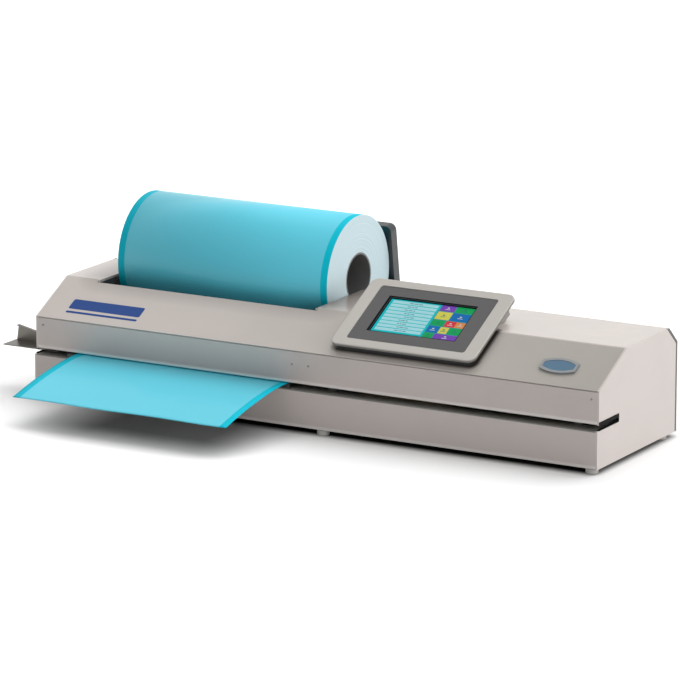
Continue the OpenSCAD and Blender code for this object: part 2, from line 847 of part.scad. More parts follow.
module rail_brackets() color("#8d9092") place()
    for (x = [rail_l - bracket_t, rail_r])
        translate([x, slot_depth + sheet_t, z_bed - bed_tail])
            cube([bracket_t, cut_y + rail_w / 2 + 2 - slot_depth - sheet_t,
                rail_z + rail_h - z_bed + bed_tail]);

module cutter_carriage() color("#2b2d2f") place() {
    hand = rail_w / 2 + gap;
    outer = hand + carriage_wall;
    low = web_z + 3.6;
    difference() {
        along_x(park_x - carriage_l / 2, park_x + carriage_l / 2) {
            difference() {
                translate([cut_y - outer, low])
                    square([2 * outer, rail_z + 10 - low]);
                translate([cut_y - hand, rail_z - gap]) square([2 * hand, 20]);
            }
            for (side = [-1, 1])
                translate([cut_y + side * (hand - groove / 2 + e) - groove / 2,
                    rail_z + rail_groove_low + gap])
                    square([groove, rail_groove_h - 2 * gap]);
        }
        y_rod(blade_d + 2, cut_y - blade_t / 2 - 0.6, cut_y + blade_t / 2 + 0.6,
            [park_x, blade_z]);
        y_rod(wheel_shaft_d + 2 * fit, cut_y - outer - 1, cut_y + outer + 1,
            [park_x, blade_z]);
    }
}

module cutter_wheel() color("#d3d6d8") place() {
    y_rod(blade_d, cut_y - blade_t / 2, cut_y + blade_t / 2, [park_x, blade_z]);
    y_rod(wheel_shaft_d, cut_y - rail_w / 2 - carriage_wall,
        cut_y + rail_w / 2 + carriage_wall, [park_x, blade_z]);
}

module cutter_anvil() color("#8f9396") place()
    translate([reel_left - 13, slot_depth + sheet_t, z_bed - 3.5])
        cube([reel_w + 26, cut_y + 5 - slot_depth - sheet_t, exit_h + 3.5]);

// Seal unit

// Each shaft in the chassis: its X and Z, and its diameter
drive_axes = [[seal_l_x, lower_axis_z, drive_shaft_d],
    [seal_r_x, lower_axis_z, drive_shaft_d],
    [seal_l_x, upper_axis_z, drive_shaft_d],
    [seal_r_x, upper_axis_z, drive_shaft_d],
    [press_at, lower_press_z, press_shaft_d],
    [press_at, upper_press_z, press_shaft_d]];

module seal_chassis() color("#8a8d8f") place() difference() {
    union() {
        along_x(chassis_l, chassis_r) {
            low = z_bed - sheet_t;
            translate([chassis_y, z_base]) square([chassis_t, low - z_base]);
            translate([chassis_y, z_base]) square([22, sheet_t]);
            translate([chassis_y, low - chassis_t])
                square([chassis_web_y + chassis_t - chassis_y, chassis_t]);
            translate([chassis_web_y, low - chassis_t])
                square([chassis_t, z_ceil + chassis_t - low + chassis_t]);
            translate([chassis_y, z_ceil])
                square([chassis_web_y + chassis_t - chassis_y, chassis_t]);
            translate([chassis_y, z_ceil]) square([chassis_t, upper_axis_z + 24 - z_ceil]);
        }
        for (p = drive_axes)
            y_rod(p[2] + 2 * boss_wall, chassis_y, chassis_y + chassis_t + boss_l, p);
    }
    for (p = drive_axes)
        y_rod(p[2] + 2 * fit, chassis_y - 1, chassis_web_y - e, p);
    for (p = [drive_axes[1], drive_axes[3]])
        y_rod(p[2] + 2, chassis_web_y - 1, chassis_web_y + chassis_t + 1, p);
}

module belt(z) {
    along_y(belt_y, belt_y + belt_w) difference() {
        belt_outline(z, belt_in_r + belt_t);
        belt_outline(z, belt_in_r);
    }
}

module belt_outline(z, r) {
    translate([seal_l_x, z - r]) square([belt_span, 2 * r]);
    for (x = [seal_l_x, seal_r_x]) translate([x, z]) circle(r);
}

module lower_belt() color("#c98b4b") place() belt(lower_axis_z);

module upper_belt() color("#c98b4b") place() belt(upper_axis_z);

module pulley(at) {
    difference() {
        y_rod(pulley_d, belt_y - 1, belt_y + belt_w + 1, at);
        y_rod(drive_shaft_d, belt_y - 2, belt_y + belt_w + 2, at);
    }
}

module drive_shaft(at, rear) {
    y_rod(drive_shaft_d, belt_y - 2, rear, at);
}

module lower_drive_shaft() color("#c4c7c9") place()
    drive_shaft([seal_r_x, lower_axis_z], motor_y + 12);

module upper_drive_shaft() color("#c4c7c9") place()
    drive_shaft([seal_r_x, upper_axis_z], motor_y - e);

module lower_drive_pulley() color("#a4a7a9") place() pulley([seal_r_x, lower_axis_z]);

module upper_drive_pulley() color("#a4a7a9") place() pulley([seal_r_x, upper_axis_z]);

module idler(at, d, shaft) {
    y_rod(d, belt_y - 1, belt_y + belt_w + 1, at);
    y_rod(shaft, belt_y - 2, chassis_y + chassis_t + boss_l + 1, at);
}

module lower_idler_pulley() color("#a4a7a9") place()
    idler([seal_l_x, lower_axis_z], pulley_d, drive_shaft_d);

module upper_idler_pulley() color("#a4a7a9") place()
    idler([seal_l_x, upper_axis_z], pulley_d, drive_shaft_d);

module lower_press_roller() color("#3a3c3e") place()
    idler([press_at, lower_press_z], press_d, press_shaft_d);

module upper_press_roller() color("#3a3c3e") place()
    idler([press_at, upper_press_z], press_d, press_shaft_d);

// Involute teeth on the sync gears, which touch at their pitch circles
gear_pitch_r = (upper_axis_z - lower_axis_z) / 2;
gear_module = 2 * gear_pitch_r / gear_teeth;
pressure = 20;
gear_base_r = gear_pitch_r * cos(pressure);
gear_tip_r = gear_pitch_r + 0.9 * gear_module;
gear_root_r = gear_pitch_r - 1.15 * gear_module;
tooth_slack = 0.45;
function involute(a) = tan(a) * 180 / PI - a;
function tooth_half(r) = 90 / gear_teeth - tooth_slack + involute(pressure)
    - involute(acos(min(1, gear_base_r / r)));
tooth_radii = [gear_root_r, gear_base_r, (gear_base_r + gear_tip_r) / 2, gear_tip_r];

module gear_outline(turn) {
    polygon([for (i = [0:gear_teeth - 1], k = [0:7])
        let (r = tooth_radii[k < 4 ? k : 7 - k],
            a = turn + i * 360 / gear_teeth + (k < 4 ? -1 : 1) * tooth_half(r))
        r * [cos(a), sin(a)]]);
}

module sync_gear(z, turn) {
    along_y(gear_y, gear_y + gear_t) translate([seal_r_x, z]) difference() {
        gear_outline(turn);
        circle(d = drive_shaft_d);
    }
}

module lower_sync_gear() color("#d8d2c0") place() sync_gear(lower_axis_z, 90);

module upper_sync_gear() color("#d8d2c0") place()
    sync_gear(upper_axis_z, 180 / gear_teeth - 90);

module heater(low, high) {
    translate([seal_l_x + heater_x, belt_y + 1, low])
        cube([heater_l, chassis_y - belt_y - 1, high - low]);
}

module lower_heater() color("#b4a58c") place()
    heater(lower_axis_z - pulley_r + 5, pouch_z - belt_gap / 2 - belt_t - gap);

module upper_heater() color("#b4a58c") place()
    heater(pouch_z + belt_gap / 2 + belt_t + gap, upper_axis_z + pulley_r - 5);

module motor_bracket() color("#8a8d8f") place() {
    low = motor_y - chassis_t;
    difference() {
        translate([seal_r_x - bracket_w / 2, low, z_base])
            cube([bracket_w, chassis_t, upper_axis_z + pulley_r - z_base]);
        for (z = [lower_axis_z, upper_axis_z])
            y_rod(drive_shaft_d + 2 * fit, low - 1, motor_y + 1, [seal_r_x, z]);
    }
    translate([seal_r_x - bracket_w / 2, motor_y - e, z_base])
        cube([bracket_w, bracket_w * 0.36, sheet_t]);
}

module seal_motor() color("#4c4f52") place() difference() {
    at = [seal_r_x, lower_axis_z];
    union() {
        y_rod(38, motor_y, motor_y + 28, at);
        y_rod(34, motor_y + 28 - e, motor_y + 70, at);
        y_rod(14, motor_y + 70 - e, motor_y + 74, at);
    }
    y_rod(drive_shaft_d + 2 * fit, motor_y - 1, motor_y + 14, at);
}

// Display

module display_frame() color("#bdb7ae") place() on_slope()
    difference() {
        soft = 2;
        translate([display_x, display_s, frame_back]) hull()
            for (sx = [-1, 1], sy = [-1, 1])
                translate([sx * (display_w / 2 - display_corner),
                    sy * (display_h / 2 - display_corner), 0])
                    rotate_extrude($fn = 32) {
                        square([display_corner, display_t - soft]);
                        square([display_corner - soft, display_t]);
                        translate([display_corner - soft, display_t - soft])
                            circle(soft, $fn = 16);
                    }
        translate([display_x, display_s, display_rise - panel_sink - panel_t])
            linear_extrude(display_t)
                round_rect(panel_w + 2 * gap, panel_h + 2 * gap, panel_corner);
        translate([display_x - screen_w_out / 2 - gap, display_s - screen_h_out / 2 - gap,
            frame_back - 1])
            cube([screen_w_out + 2 * gap, screen_h_out + 2 * gap, display_t]);
    }

module display_panel() color("#5f5d5e") place() on_slope()
    translate([display_x, display_s, display_rise - panel_sink - panel_t])
        linear_extrude(panel_t) difference() {
            round_rect(panel_w, panel_h, panel_corner);
            square([screen_w, screen_h] + 2 * panel_window * [1, 1], center = true);
        }

screen_top = display_rise - panel_sink - panel_t - screen_sink;

module touch_screen() color("#22b8c4") place() on_slope()
    translate([display_x - screen_w_out / 2, display_s - screen_h_out / 2,
        screen_top - screen_t])
        cube([screen_w_out, screen_h_out, screen_t]);

module display_board() color("#2f6b45") place() on_slope() {
    top = screen_top - screen_t;
    w = screen_w_out + 20;
    h = screen_h_out + 20;
    translate([display_x - w / 2, display_s - h / 2, top - board_t]) cube([w, h, board_t]);
    for (sx = [-1, 1], sy = [-1, 1])
        translate([display_x + sx * (w / 2 - 5), display_s + sy * (h / 2 - 5), top - e])
            cylinder(d = 6, h = frame_back - top + e);
}

module display_rear_housing() color("#d5ceca") place() on_slope() {
    wall = 2.5;
    translate([display_x - back_w / 2, display_low + back_low, frame_back - back_depth])
        difference() {
            cube([back_w, back_h, back_depth]);
            translate([wall, wall, wall])
                cube([back_w - 2 * wall, back_h - 2 * wall, back_depth]);
        }
}

module display_seat() color("#2e2b28") place() on_slope() {
    inset = 6;
    r = 12;
    low = display_low + 2;
    crest = norm([slope_run, z_deck - z_ridge]);
    hole = back_w / 2 + seam;
    translate([display_x, 0, 0]) linear_extrude(frame_back) difference() {
        union() {
            translate([-display_w / 2 + inset, low + r])
                square([display_w - 2 * inset, crest - low - r]);
            translate([-display_w / 2 + inset + r, low])
                square([display_w - 2 * inset - 2 * r, 2 * r]);
            for (side = [-1, 1])
                translate([side * (display_w / 2 - inset - r), low + r]) circle(r);
        }
        translate([-hole, display_low + back_low - seam]) square([2 * hole, crest]);
    }
}

// Upper edge of the badge's outline, inset by d: an arc from right to left
arc_points = 16;
function badge_edge(d) =
    let (half = badge_w / 2 - d,
        r = (half * half + badge_bow * badge_bow) / (2 * badge_bow), a = asin(half / r))
    [for (i = [0:arc_points]) let (t = 90 - a + 2 * a * i / arc_points)
        [r * cos(t), badge_h / 2 - d - r + r * sin(t)]];

module badge_outline(d) polygon(concat(badge_edge(d), -badge_edge(d)));

module on_badge(h) place() on_slope()
    translate([body_len - badge_inset, slope_run / 2 - badge_low, h]) children();

module badge() color("#b9bfc4") on_badge(0) difference() {
    linear_extrude(badge_t) badge_outline(0);
    translate([0, 0, badge_t - inlay_t]) linear_extrude(2 * inlay_t) badge_outline(badge_rim);
}

module badge_inlay() color("#2a6f96") on_badge(badge_t - inlay_t)
    linear_extrude(inlay_t - inlay_sunk) badge_outline(badge_rim + gap);

// Electrics

board_t = 1.6;
fin_t = 1.6;
fin_pitch = 4;

module main_board() color("#2f6b45") place()
    translate([display_x - 0.67 * board_l, body_depth - rear_room - board_d, z_base]) {
        edge = 6;
        translate([0, 0, board_lift]) cube([board_l, board_d, board_t]);
        for (x = [edge, board_l - edge], y = [edge, board_d - edge])
            translate([x, y, 0]) cylinder(d = edge, h = board_lift + e);
        translate([board_l / 15, board_d / 6, board_lift + board_t - e]) {
            cube([board_l / 4.5, board_d / 2.8, 3 * board_lift]);
            translate([board_l / 3.5, 0, 0]) cube([board_d / 3, board_d / 3, 2 * board_t]);
            translate([board_l / 1.9, 0, 0]) {
                cube([5 * fin_pitch + fin_t, board_d / 2.3, 2 * board_t]);
                for (i = [0:5])
                    translate([fin_pitch * i, 0, 0])
                        cube([fin_t, board_d / 2.3, 2.2 * board_lift]);
            }
            for (i = [0:2])
                translate([board_l * (0.7 + i / 15), board_d / 7, 0])
                    cylinder(d = board_l / 20, h = 2 * board_lift);
            translate([edge, board_d * 0.58, 0])
                cube([board_l * 0.7, 1.5 * edge, 1.4 * board_lift]);
        }
    }

module power_supply() color("#9b9ea0") place()
    translate([body_len - supply_inset - supply_l,
        body_depth - rear_room - supply_d, z_base]) difference() {
        cube([supply_l, supply_d, supply_h]);
        for (i = [0:7])
            translate([supply_l * (0.1 + 0.108 * i), supply_d * 0.19, supply_h - 3])
                cube([supply_l / 30, supply_d * 0.62, 5]);
        translate([supply_l / 15, -1, supply_h * 0.68])
            cube([supply_l * 0.87, supply_d / 10, supply_h]);
    }

module mains_inlet() color("#1c1c1d") place() {
    x = body_len - inlet_inset;
    z = z_under + inlet_h;
    difference() {
        union() {
            along_y(body_depth, body_depth + 3)
                translate([x, z]) round_rect(50, 24, 3);
            along_y(body_depth - 22, body_depth + e)
                translate([x, z]) square(inlet_body, center = true);
        }
        along_y(body_depth - 14, body_depth + 4) translate([x, z])
            polygon([[-12, -8.2], [12, -8.2], [12, 3.2], [7, 8.2], [-7, 8.2], [-12, 3.2]]);
        for (side = [-1, 1])
            y_rod(3.4, body_depth - 1, body_depth + 4, [x + side * 20, z]);
    }
    for (p = [[-7, -2], [0, 2], [7, -2]])
        along_y(body_depth - 15, body_depth - 2)
            translate([x + p[0], z + p[1]]) square([2, 4], center = true);
}

rocker_w = 10.6;
rocker_at = [body_len - inlet_inset + switch_gap, body_depth - 1, z_under + inlet_h];

module switch_bezel() color("#161617") place() difference() {
    union() {
        along_y(body_depth, body_depth + 1.5)
            translate([rocker_at[0], rocker_at[2]]) round_rect(17, 24, 1.5);
        along_y(body_depth - 16, body_depth + e)
            translate([rocker_at[0], rocker_at[2]]) square(switch_body, center = true);
    }
    along_y(body_depth - 8, body_depth + 2)
        translate([rocker_at[0], rocker_at[2]]) square([rocker_w + 0.6, 18], center = true);
    x_rod(2.5 + 2 * fit, rocker_at[0] - rocker_w / 2 - 1.2, rocker_at[0] + rocker_w / 2 + 1.2,
        [rocker_at[1], rocker_at[2]]);
}

module power_rocker() color("#1f2021") place()
    translate(rocker_at) rotate([-11, 0, 0]) {
        along_x(-rocker_w / 2, rocker_w / 2)
            polygon([[-3.8, -7.4], [2.8, -8], [1.4, 0], [2.8, 8], [-3.8, 7.4]]);
        x_rod(2.5, -rocker_w / 2 - 1, rocker_w / 2 + 1, [0, 0]);
    }

fan_at = [fan_x, z_under + fan_h];
fan_rear = body_depth - sheet_t;
fan_hub = 0.4 * fan_w;
blade_depth = fan_d - 9;

module fan_frame() color("#222325") place() {
    front = fan_rear - fan_d;
    difference() {
        along_y(front, fan_rear)
            translate(fan_at) round_rect(fan_w, fan_w, 5);
        y_rod(fan_w - 4, front - 1, fan_rear + 1, fan_at);
        for (sx = [-1, 1], sz = [-1, 1])
            y_rod(4.3, front - 1, fan_rear + 1, fan_at + (fan_w / 2 - 4.5) * [sx, sz]);
    }
    y_rod(fan_hub, front, front + 3, fan_at);
    for (turn = [45, 135])
        translate([fan_at[0], front, fan_at[1]]) rotate([0, turn, 0])
            translate([-fan_w / 2 + 1, 0, -2]) cube([fan_w - 2, 3, 4]);
    y_rod(4, front + 3 - e, front + 14, fan_at);
}

module fan_rotor() color("#2b2c2e") place() {
    front = fan_rear - fan_d + 3.4;
    difference() {
        union() {
            y_rod(fan_hub, front, front + blade_depth + 1, fan_at);
            intersection() {
                y_rod(fan_w - 7, front, front + blade_depth, fan_at);
                translate([fan_at[0], front + blade_depth / 2, fan_at[1]])
                    for (i = [0:6])
                        rotate([0, i * 360 / 7, 0]) translate([fan_hub / 2 - 4, 0, 0])
                            rotate([38, 0, 0]) translate([0, -0.8, -fan_w / 7])
                                cube([fan_w / 2, 1.6, 2 * fan_w / 7]);
            }
        }
        y_rod(4 + 2 * fit, front - 1, front + 12, fan_at);
    }
}

base_housing();
left_side_plate();
right_side_plate();
upper_front_panel();
top_cover();
rear_cover();
feet();
panel_screws();
left_slot_trim();
right_slot_trim();
slot_bed();
film_exit_plate();
infeed_guide();
reel_cradle();
backrest();
reel_film();
reel_core();
front_support_roller();
rear_support_roller();
film_web();
feed_roller();
pinch_roller();
feed_motor();
cutter_rail();
rail_brackets();
cutter_carriage();
cutter_wheel();
cutter_anvil();
seal_chassis();
lower_belt();
upper_belt();
lower_drive_shaft();
lower_drive_pulley();
lower_sync_gear();
upper_drive_shaft();
upper_drive_pulley();
upper_sync_gear();
lower_idler_pulley();
upper_idler_pulley();
lower_press_roller();
upper_press_roller();
lower_heater();
upper_heater();
seal_motor();
motor_bracket();
display_frame();
display_rear_housing();
display_panel();
touch_screen();
display_board();
display_seat();
badge();
badge_inlay();
main_board();
power_supply();
mains_inlet();
switch_bezel();
power_rocker();
fan_frame();
fan_rotor();
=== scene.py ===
"""Dresses a pouch sealing machine: its film reel and web, its painted sheet metal,
its display and small fittings, and the stage that it stands on."""

import json
import math
import random

import bmesh
import bpy
from mathutils import Matrix, Vector


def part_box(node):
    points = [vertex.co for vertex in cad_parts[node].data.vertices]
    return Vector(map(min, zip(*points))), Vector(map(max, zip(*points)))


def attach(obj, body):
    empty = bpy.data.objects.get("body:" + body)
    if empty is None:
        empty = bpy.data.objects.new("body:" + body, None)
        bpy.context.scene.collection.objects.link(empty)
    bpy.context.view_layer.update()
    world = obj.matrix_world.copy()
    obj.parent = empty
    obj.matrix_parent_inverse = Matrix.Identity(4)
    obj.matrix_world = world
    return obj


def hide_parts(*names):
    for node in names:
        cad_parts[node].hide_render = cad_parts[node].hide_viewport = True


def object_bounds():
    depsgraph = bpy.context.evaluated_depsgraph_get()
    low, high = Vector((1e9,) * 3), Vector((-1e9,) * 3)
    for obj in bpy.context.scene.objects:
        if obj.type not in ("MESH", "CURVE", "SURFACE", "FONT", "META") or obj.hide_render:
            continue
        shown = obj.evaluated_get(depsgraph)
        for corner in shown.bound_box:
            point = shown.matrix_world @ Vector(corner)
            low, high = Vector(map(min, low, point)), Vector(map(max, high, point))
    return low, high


bl_info = {
    "name": "Pouch Sealing Machine",
    "version": (1, 0, 0),
    "blender": (4, 5, 0),
    "location": "View3D > Sidebar > Sealer",
    "description": "Dresses the sealing machine with its film reel, and sets its stage",
    "category": "Object",
}

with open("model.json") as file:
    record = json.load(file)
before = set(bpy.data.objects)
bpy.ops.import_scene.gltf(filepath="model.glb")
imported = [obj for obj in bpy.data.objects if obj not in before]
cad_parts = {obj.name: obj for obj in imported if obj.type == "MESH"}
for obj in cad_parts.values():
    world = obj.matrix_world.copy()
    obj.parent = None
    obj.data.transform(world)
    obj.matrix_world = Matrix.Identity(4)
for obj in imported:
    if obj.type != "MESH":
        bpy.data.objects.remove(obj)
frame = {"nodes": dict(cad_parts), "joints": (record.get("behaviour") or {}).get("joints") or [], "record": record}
cad_low, cad_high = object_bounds()
MM = 0.001
WHITE = (1, 1, 1, 1)

# Where the machine's left front corner lies, and the plane of the sloping cover
LEFT_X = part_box("left_side_plate")[0][0]
FRONT_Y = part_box("upper_front_panel")[0][1]
RIDGE_Z = 132.5 * MM
SLOPE_RUN, SLOPE_RISE = 94.5 * MM, 49.5 * MM
SLOPE = math.atan2(SLOPE_RISE, SLOPE_RUN)
CREST_Y = FRONT_Y + SLOPE_RUN

# The display's centre along and up the cover, and how high its frame and panel stand
DISPLAY_X, DISPLAY_S = 681 * MM, 97.25 * MM
DISPLAY_RISE = 14.5 * MM
PANEL_RISE = DISPLAY_RISE - 0.6 * MM


def colour_property(name, description, default):
    return bpy.props.FloatVectorProperty(name=name, description=description, size=4,
                                         subtype="COLOR", min=0, max=1, default=default)


def length_property(name, description, default):
    return bpy.props.FloatProperty(name=name, description=description, default=default,
                                   unit="LENGTH", precision=5)


class SealerSizes(bpy.types.PropertyGroup):
    film_thickness: length_property("Film Thickness", "Thickness of the film web", 0.3 * MM)
    seam_width: length_property("Seam Width", "Width of the film's sealed edges", 13 * MM)
    seam_line: length_property("Seam Line", "Spacing of the seal lines in a seam", 3 * MM)
    ripple: length_property("Ripple", "Height of the waves in the hanging film", 0.5 * MM)
    rings: bpy.props.IntProperty(name="Rings", description="Wound rings that show at each end",
                                 default=44, min=4, max=80)
    ring_step: length_property("Ring Step", "How far the rings lie in from each other",
                               0.3 * MM)
    screw_head: length_property("Screw Head", "Diameter of a panel screw's head", 6 * MM)
    screw_rise: length_property("Screw Rise", "Height of a panel screw's head", 0.8 * MM)
    screw_recess: length_property("Screw Recess", "Width of a panel screw's cross", 0.9 * MM)
    print_lift: length_property("Print Lift", "Thickness of printed areas", 0.06 * MM)
    # Widths of the screen's black strips: printed border, widened by painted recess shadow
    border_and_shadow_left: length_property("Border And Shadow Left", "Printed border and painted recess shadow at the screen's left", 4 * MM)
    border_and_shadow_top: length_property("Border And Shadow Top", "Printed border and painted recess shadow above the screen", 3 * MM)


class SealerColours(bpy.types.PropertyGroup):
    paint: colour_property("Paint", "Paint of the side plates", (0.66, 0.6, 0.57, 1))
    front: colour_property("Front", "Paint of the front sheets", (0.63, 0.565, 0.535, 1))
    cover: colour_property("Cover", "Paint of the cover", (0.63, 0.57, 0.532, 1))
    # Painted highlight colour for the folded lower edges of the front sheets
    fold: colour_property("Fold", "Painted highlight on the folded edges of the housing paint", (0.98, 0.93, 0.9, 1))
    rear: colour_property("Rear", "Paint of the rear cover", (0.1, 0.092, 0.088, 1))
    black: colour_property("Black", "Black paint", (0.03, 0.036, 0.037, 1))
    film: colour_property("Film", "Blue side of the film", (0.125, 0.66, 0.82, 1))
    seam: colour_property("Seam", "Sealed edges of the film", (0.002, 0.58, 0.74, 1))
    paper: colour_property("Paper", "Paper side of the film", (0.78, 0.82, 0.83, 1))
    reel_end: colour_property("Reel End", "Ends of the wound film", (0.66, 0.82, 0.87, 1))
    display: colour_property("Display", "Display frame", (0.56, 0.53, 0.49, 1))
    panel: colour_property("Panel", "Dark panel round the screen", (0.085, 0.083, 0.084, 1))
    print_blue: colour_property("Print Blue", "Printed stripes", (0.0, 0.05, 0.26, 1))
    badge: colour_property("Badge", "Enamel of the badge", (0.05, 0.15, 0.25, 1))


def sizes():
    return bpy.context.scene.sealer_sizes


def colours():
    return bpy.context.scene.sealer_colours


def joint_at(name):
    """Where a hinge's axis lies, as its Y and Z in the frame."""
    at = next(j for j in frame["joints"] if j["name"] == name)["pos_m"]
    return Vector((at[1], at[2]))


def on_slope(x, s, h=0.0):
    """A point at x from the left side, s up the sloping cover and h above it."""
    return Vector((LEFT_X + x,
                   FRONT_Y + s * math.cos(SLOPE) - h * math.sin(SLOPE),
                   RIDGE_Z + s * math.sin(SLOPE) + h * math.cos(SLOPE)))


# Nodes and materials


class Tree:
    """Adds nodes to a tree, and links or sets their inputs."""

    def __init__(self, tree):
        self.tree = tree

    def add(self, kind, values=None, **settings):
        made = self.tree.nodes.new(kind)
        for key, value in settings.items():
            setattr(made, key, value)
        for key, value in (values or {}).items():
            if isinstance(value, bpy.types.NodeSocket):
                self.link(value, made.inputs[key])
            else:
                made.inputs[key].default_value = value
        return made

    def link(self, value, socket):
        self.tree.links.new(value, socket)

    def math(self, operation, first, second=0.0):
        return self.add("ShaderNodeMath", {0: first, 1: second},
                        operation=operation).outputs[0]

    def vector(self, operation, first, second=(0, 0, 0)):
        return self.add("ShaderNodeVectorMath", {0: first, 1: second},
                        operation=operation).outputs[0]

    def measure(self, operation, first, second=(0, 0, 0)):
        """A vector operation that gives a number, such as a length."""
        return self.add("ShaderNodeVectorMath", {0: first, 1: second},
                        operation=operation).outputs["Value"]

    def scale(self, vector, share):
        return self.add("ShaderNodeVectorMath", {0: vector, "Scale": share},
                        operation="SCALE").outputs[0]

    def ramp(self, value, low, high, to_low=0.0, to_high=1.0):
        return self.add("ShaderNodeMapRange", {"Value": value, "From Min": low,
                        "From Max": high, "To Min": to_low, "To Max": to_high}).outputs[0]

    def mix(self, factor, first, second):
        return self.add("ShaderNodeMix", {0: factor, 6: first, 7: second},
                        data_type="RGBA").outputs[2]

    def noise(self, vector, scale, detail=3.0, rough=0.5):
        return self.add("ShaderNodeTexNoise", {"Vector": vector, "Scale": scale,
                        "Detail": detail, "Roughness": rough}).outputs[0]

    def bump(self, height, depth, strength):
        return self.add("ShaderNodeBump", {"Strength": strength, "Distance": depth,
                        "Height": height}).outputs[0]

    def place(self):
        """Where a point lies in the machine's frame."""
        return self.add("ShaderNodeTexCoord").outputs["Object"]

    def along(self, vector, axis):
        """How far a vector reaches along axis 0, 1 or 2."""
        return self.add("ShaderNodeSeparateXYZ", {0: vector}).outputs[axis]


def shader_group(name, inputs, outputs):
    """Starts a shader node group: the group, its tree, what it is given and what it gives."""
    group = bpy.data.node_groups.new(name, "ShaderNodeTree")
    for label, kind, value in inputs:
        group.interface.new_socket(label, in_out="INPUT", socket_type=kind).default_value = value
    for label in outputs:
        group.interface.new_socket(label, in_out="OUTPUT", socket_type="NodeSocketFloat")
    tree = Tree(group)
    return group, tree, tree.add("NodeGroupInput").outputs, tree.add("NodeGroupOutput").inputs


def group_node(tree, name, build, values):
    """What a shader node group gives for these values. It is built the first time."""
    group = bpy.data.node_groups.get(name) or build()
    return tree.add("ShaderNodeGroup", values, node_tree=group).outputs


def grain_group():
    """Fine height, slow mottling and handling marks. Stretch draws all but the mottling
    out along an axis."""
    group, tree, given, out = shader_group(
        "Surface Grain",
        (("Scale", "NodeSocketFloat", 900.0), ("Stretch", "NodeSocketVector", (1, 1, 1))),
        ("Height", "Mottle", "Marks"))
    mottle_scale, marks_scale = 7.0, 26.0
    at = tree.place()
    stretched = tree.vector("MULTIPLY", at, given["Stretch"])
    marks = tree.noise(stretched, marks_scale, detail=6.0, rough=0.7)
    tree.link(tree.noise(stretched, given["Scale"], detail=2.0), out["Height"])
    tree.link(tree.noise(at, mottle_scale, detail=4.0, rough=0.6), out["Mottle"])
    tree.link(tree.ramp(marks, 0.5, 0.72), out["Marks"])
    return group


def seam_group():
    """Masks for the sealed edges of the film, and for the lines pressed into them."""
    group, tree, given, out = shader_group(
        "Film Seams",
        (("Centre", "NodeSocketFloat", 0.0), ("Half Width", "NodeSocketFloat", 0.2),
         ("Seam Width", "NodeSocketFloat", 0.012), ("Line", "NodeSocketFloat", 0.003)),
        ("Seam", "Lines"))
    x = tree.along(tree.place(), 0)
    off = tree.math("ABSOLUTE", tree.math("SUBTRACT", x, given["Centre"]))
    inward = tree.math("SUBTRACT", given["Half Width"], off)
    seam = tree.math("LESS_THAN", inward, given["Seam Width"])
    phase = tree.math("DIVIDE", inward, given["Line"])
    lines = tree.ramp(tree.math("SINE", tree.math("MULTIPLY", phase, math.tau)), -0.2, 0.6)
    tree.link(seam, out["Seam"])
    tree.link(tree.math("MULTIPLY", lines, seam), out["Lines"])
    return group


def fold_highlight_group():
    """A mask for the painted highlight on the folded lower edges of the front sheets."""
    group, tree, given, out = shader_group(
        "Painted Fold Highlights",
        (("Upper Edge", "NodeSocketFloat", 0.078), ("Lower Edge", "NodeSocketFloat", 0.008),
         ("Band", "NodeSocketFloat", 0.007)), ("Fold",))
    z = tree.along(tree.place(), 2)
    bands = []
    for edge in ("Upper Edge", "Lower Edge"):
        above = tree.math("SUBTRACT", z, given[edge])
        share = tree.math("DIVIDE", above, given["Band"])
        fade = tree.ramp(share, 0.3, 1.0, 1.0, 0.0)
        bands.append(tree.math("MULTIPLY", fade, tree.math("GREATER_THAN", share, -0.25)))
    tree.link(tree.math("MAXIMUM", *bands), out["Fold"])
    return group


def footprint_group():
    """How far a point lies outside a rectangle, seen from above."""
    group, tree, given, out = shader_group(
        "Footprint",
        (("Centre", "NodeSocketVector", (0, 0, 0)), ("Half Size", "NodeSocketVector", (1, 1, 1))),
        ("Distance",))
    apart = tree.vector("SUBTRACT", tree.place(), given["Centre"])
    past = tree.vector("SUBTRACT", tree.vector("ABSOLUTE", apart), given["Half Size"])
    outside = tree.vector("MAXIMUM", past, (0, 0, 0))
    tree.link(tree.measure("LENGTH", outside), out["Distance"])
    return group


def footprint(tree, low, high):
    """How far a point lies outside the rectangle from low to high, seen from above."""
    any_height = 1.0
    centre = ((low[0] + high[0]) / 2, (low[1] + high[1]) / 2, 0)
    half = ((high[0] - low[0]) / 2, (high[1] - low[1]) / 2, any_height)
    return group_node(tree, "Footprint", footprint_group,
                      {"Centre": centre, "Half Size": half})["Distance"]


def toned(colour, share):
    """A colour made darker or paler by a share, and kept within range."""
    return tuple(min(1, c * share) for c in colour[:3]) + (1,)


def empty_material(name, roughness, settings):
    material = bpy.data.materials.new(name)
    material.use_nodes = True
    shader = material.node_tree.nodes["Principled BSDF"].inputs
    shader["Roughness"].default_value = roughness
    for key, value in settings.items():
        shader[key].default_value = value
    return material, Tree(material.node_tree), shader


def finish(name, colour, roughness, scale=900.0, depth=0.03, mottle=0.08, marks=0.06,
           stretch=(1, 1, 1), **settings):
    """A surface with its own grain: scale and depth in mm set the texture, mottle the
    change of colour over the surface and marks the change of gloss where hands have been."""
    settings = {key.replace("_", " "): value for key, value in settings.items()}
    material, tree, shader = empty_material(name, roughness, settings)
    grain = group_node(tree, "Surface Grain", grain_group,
                       {"Scale": scale, "Stretch": stretch})
    tint = tree.mix(tree.ramp(grain["Mottle"], 0.3, 0.7),
                    toned(colour, 1 - mottle), toned(colour, 1 + mottle))
    glossiest = max(0.05, roughness - marks)
    tree.link(tint, shader["Base Color"])
    tree.link(tree.ramp(grain["Marks"], 0, 1, roughness, glossiest), shader["Roughness"])
    tree.link(tree.bump(grain["Height"], depth * MM, 0.6), shader["Normal"])
    return material


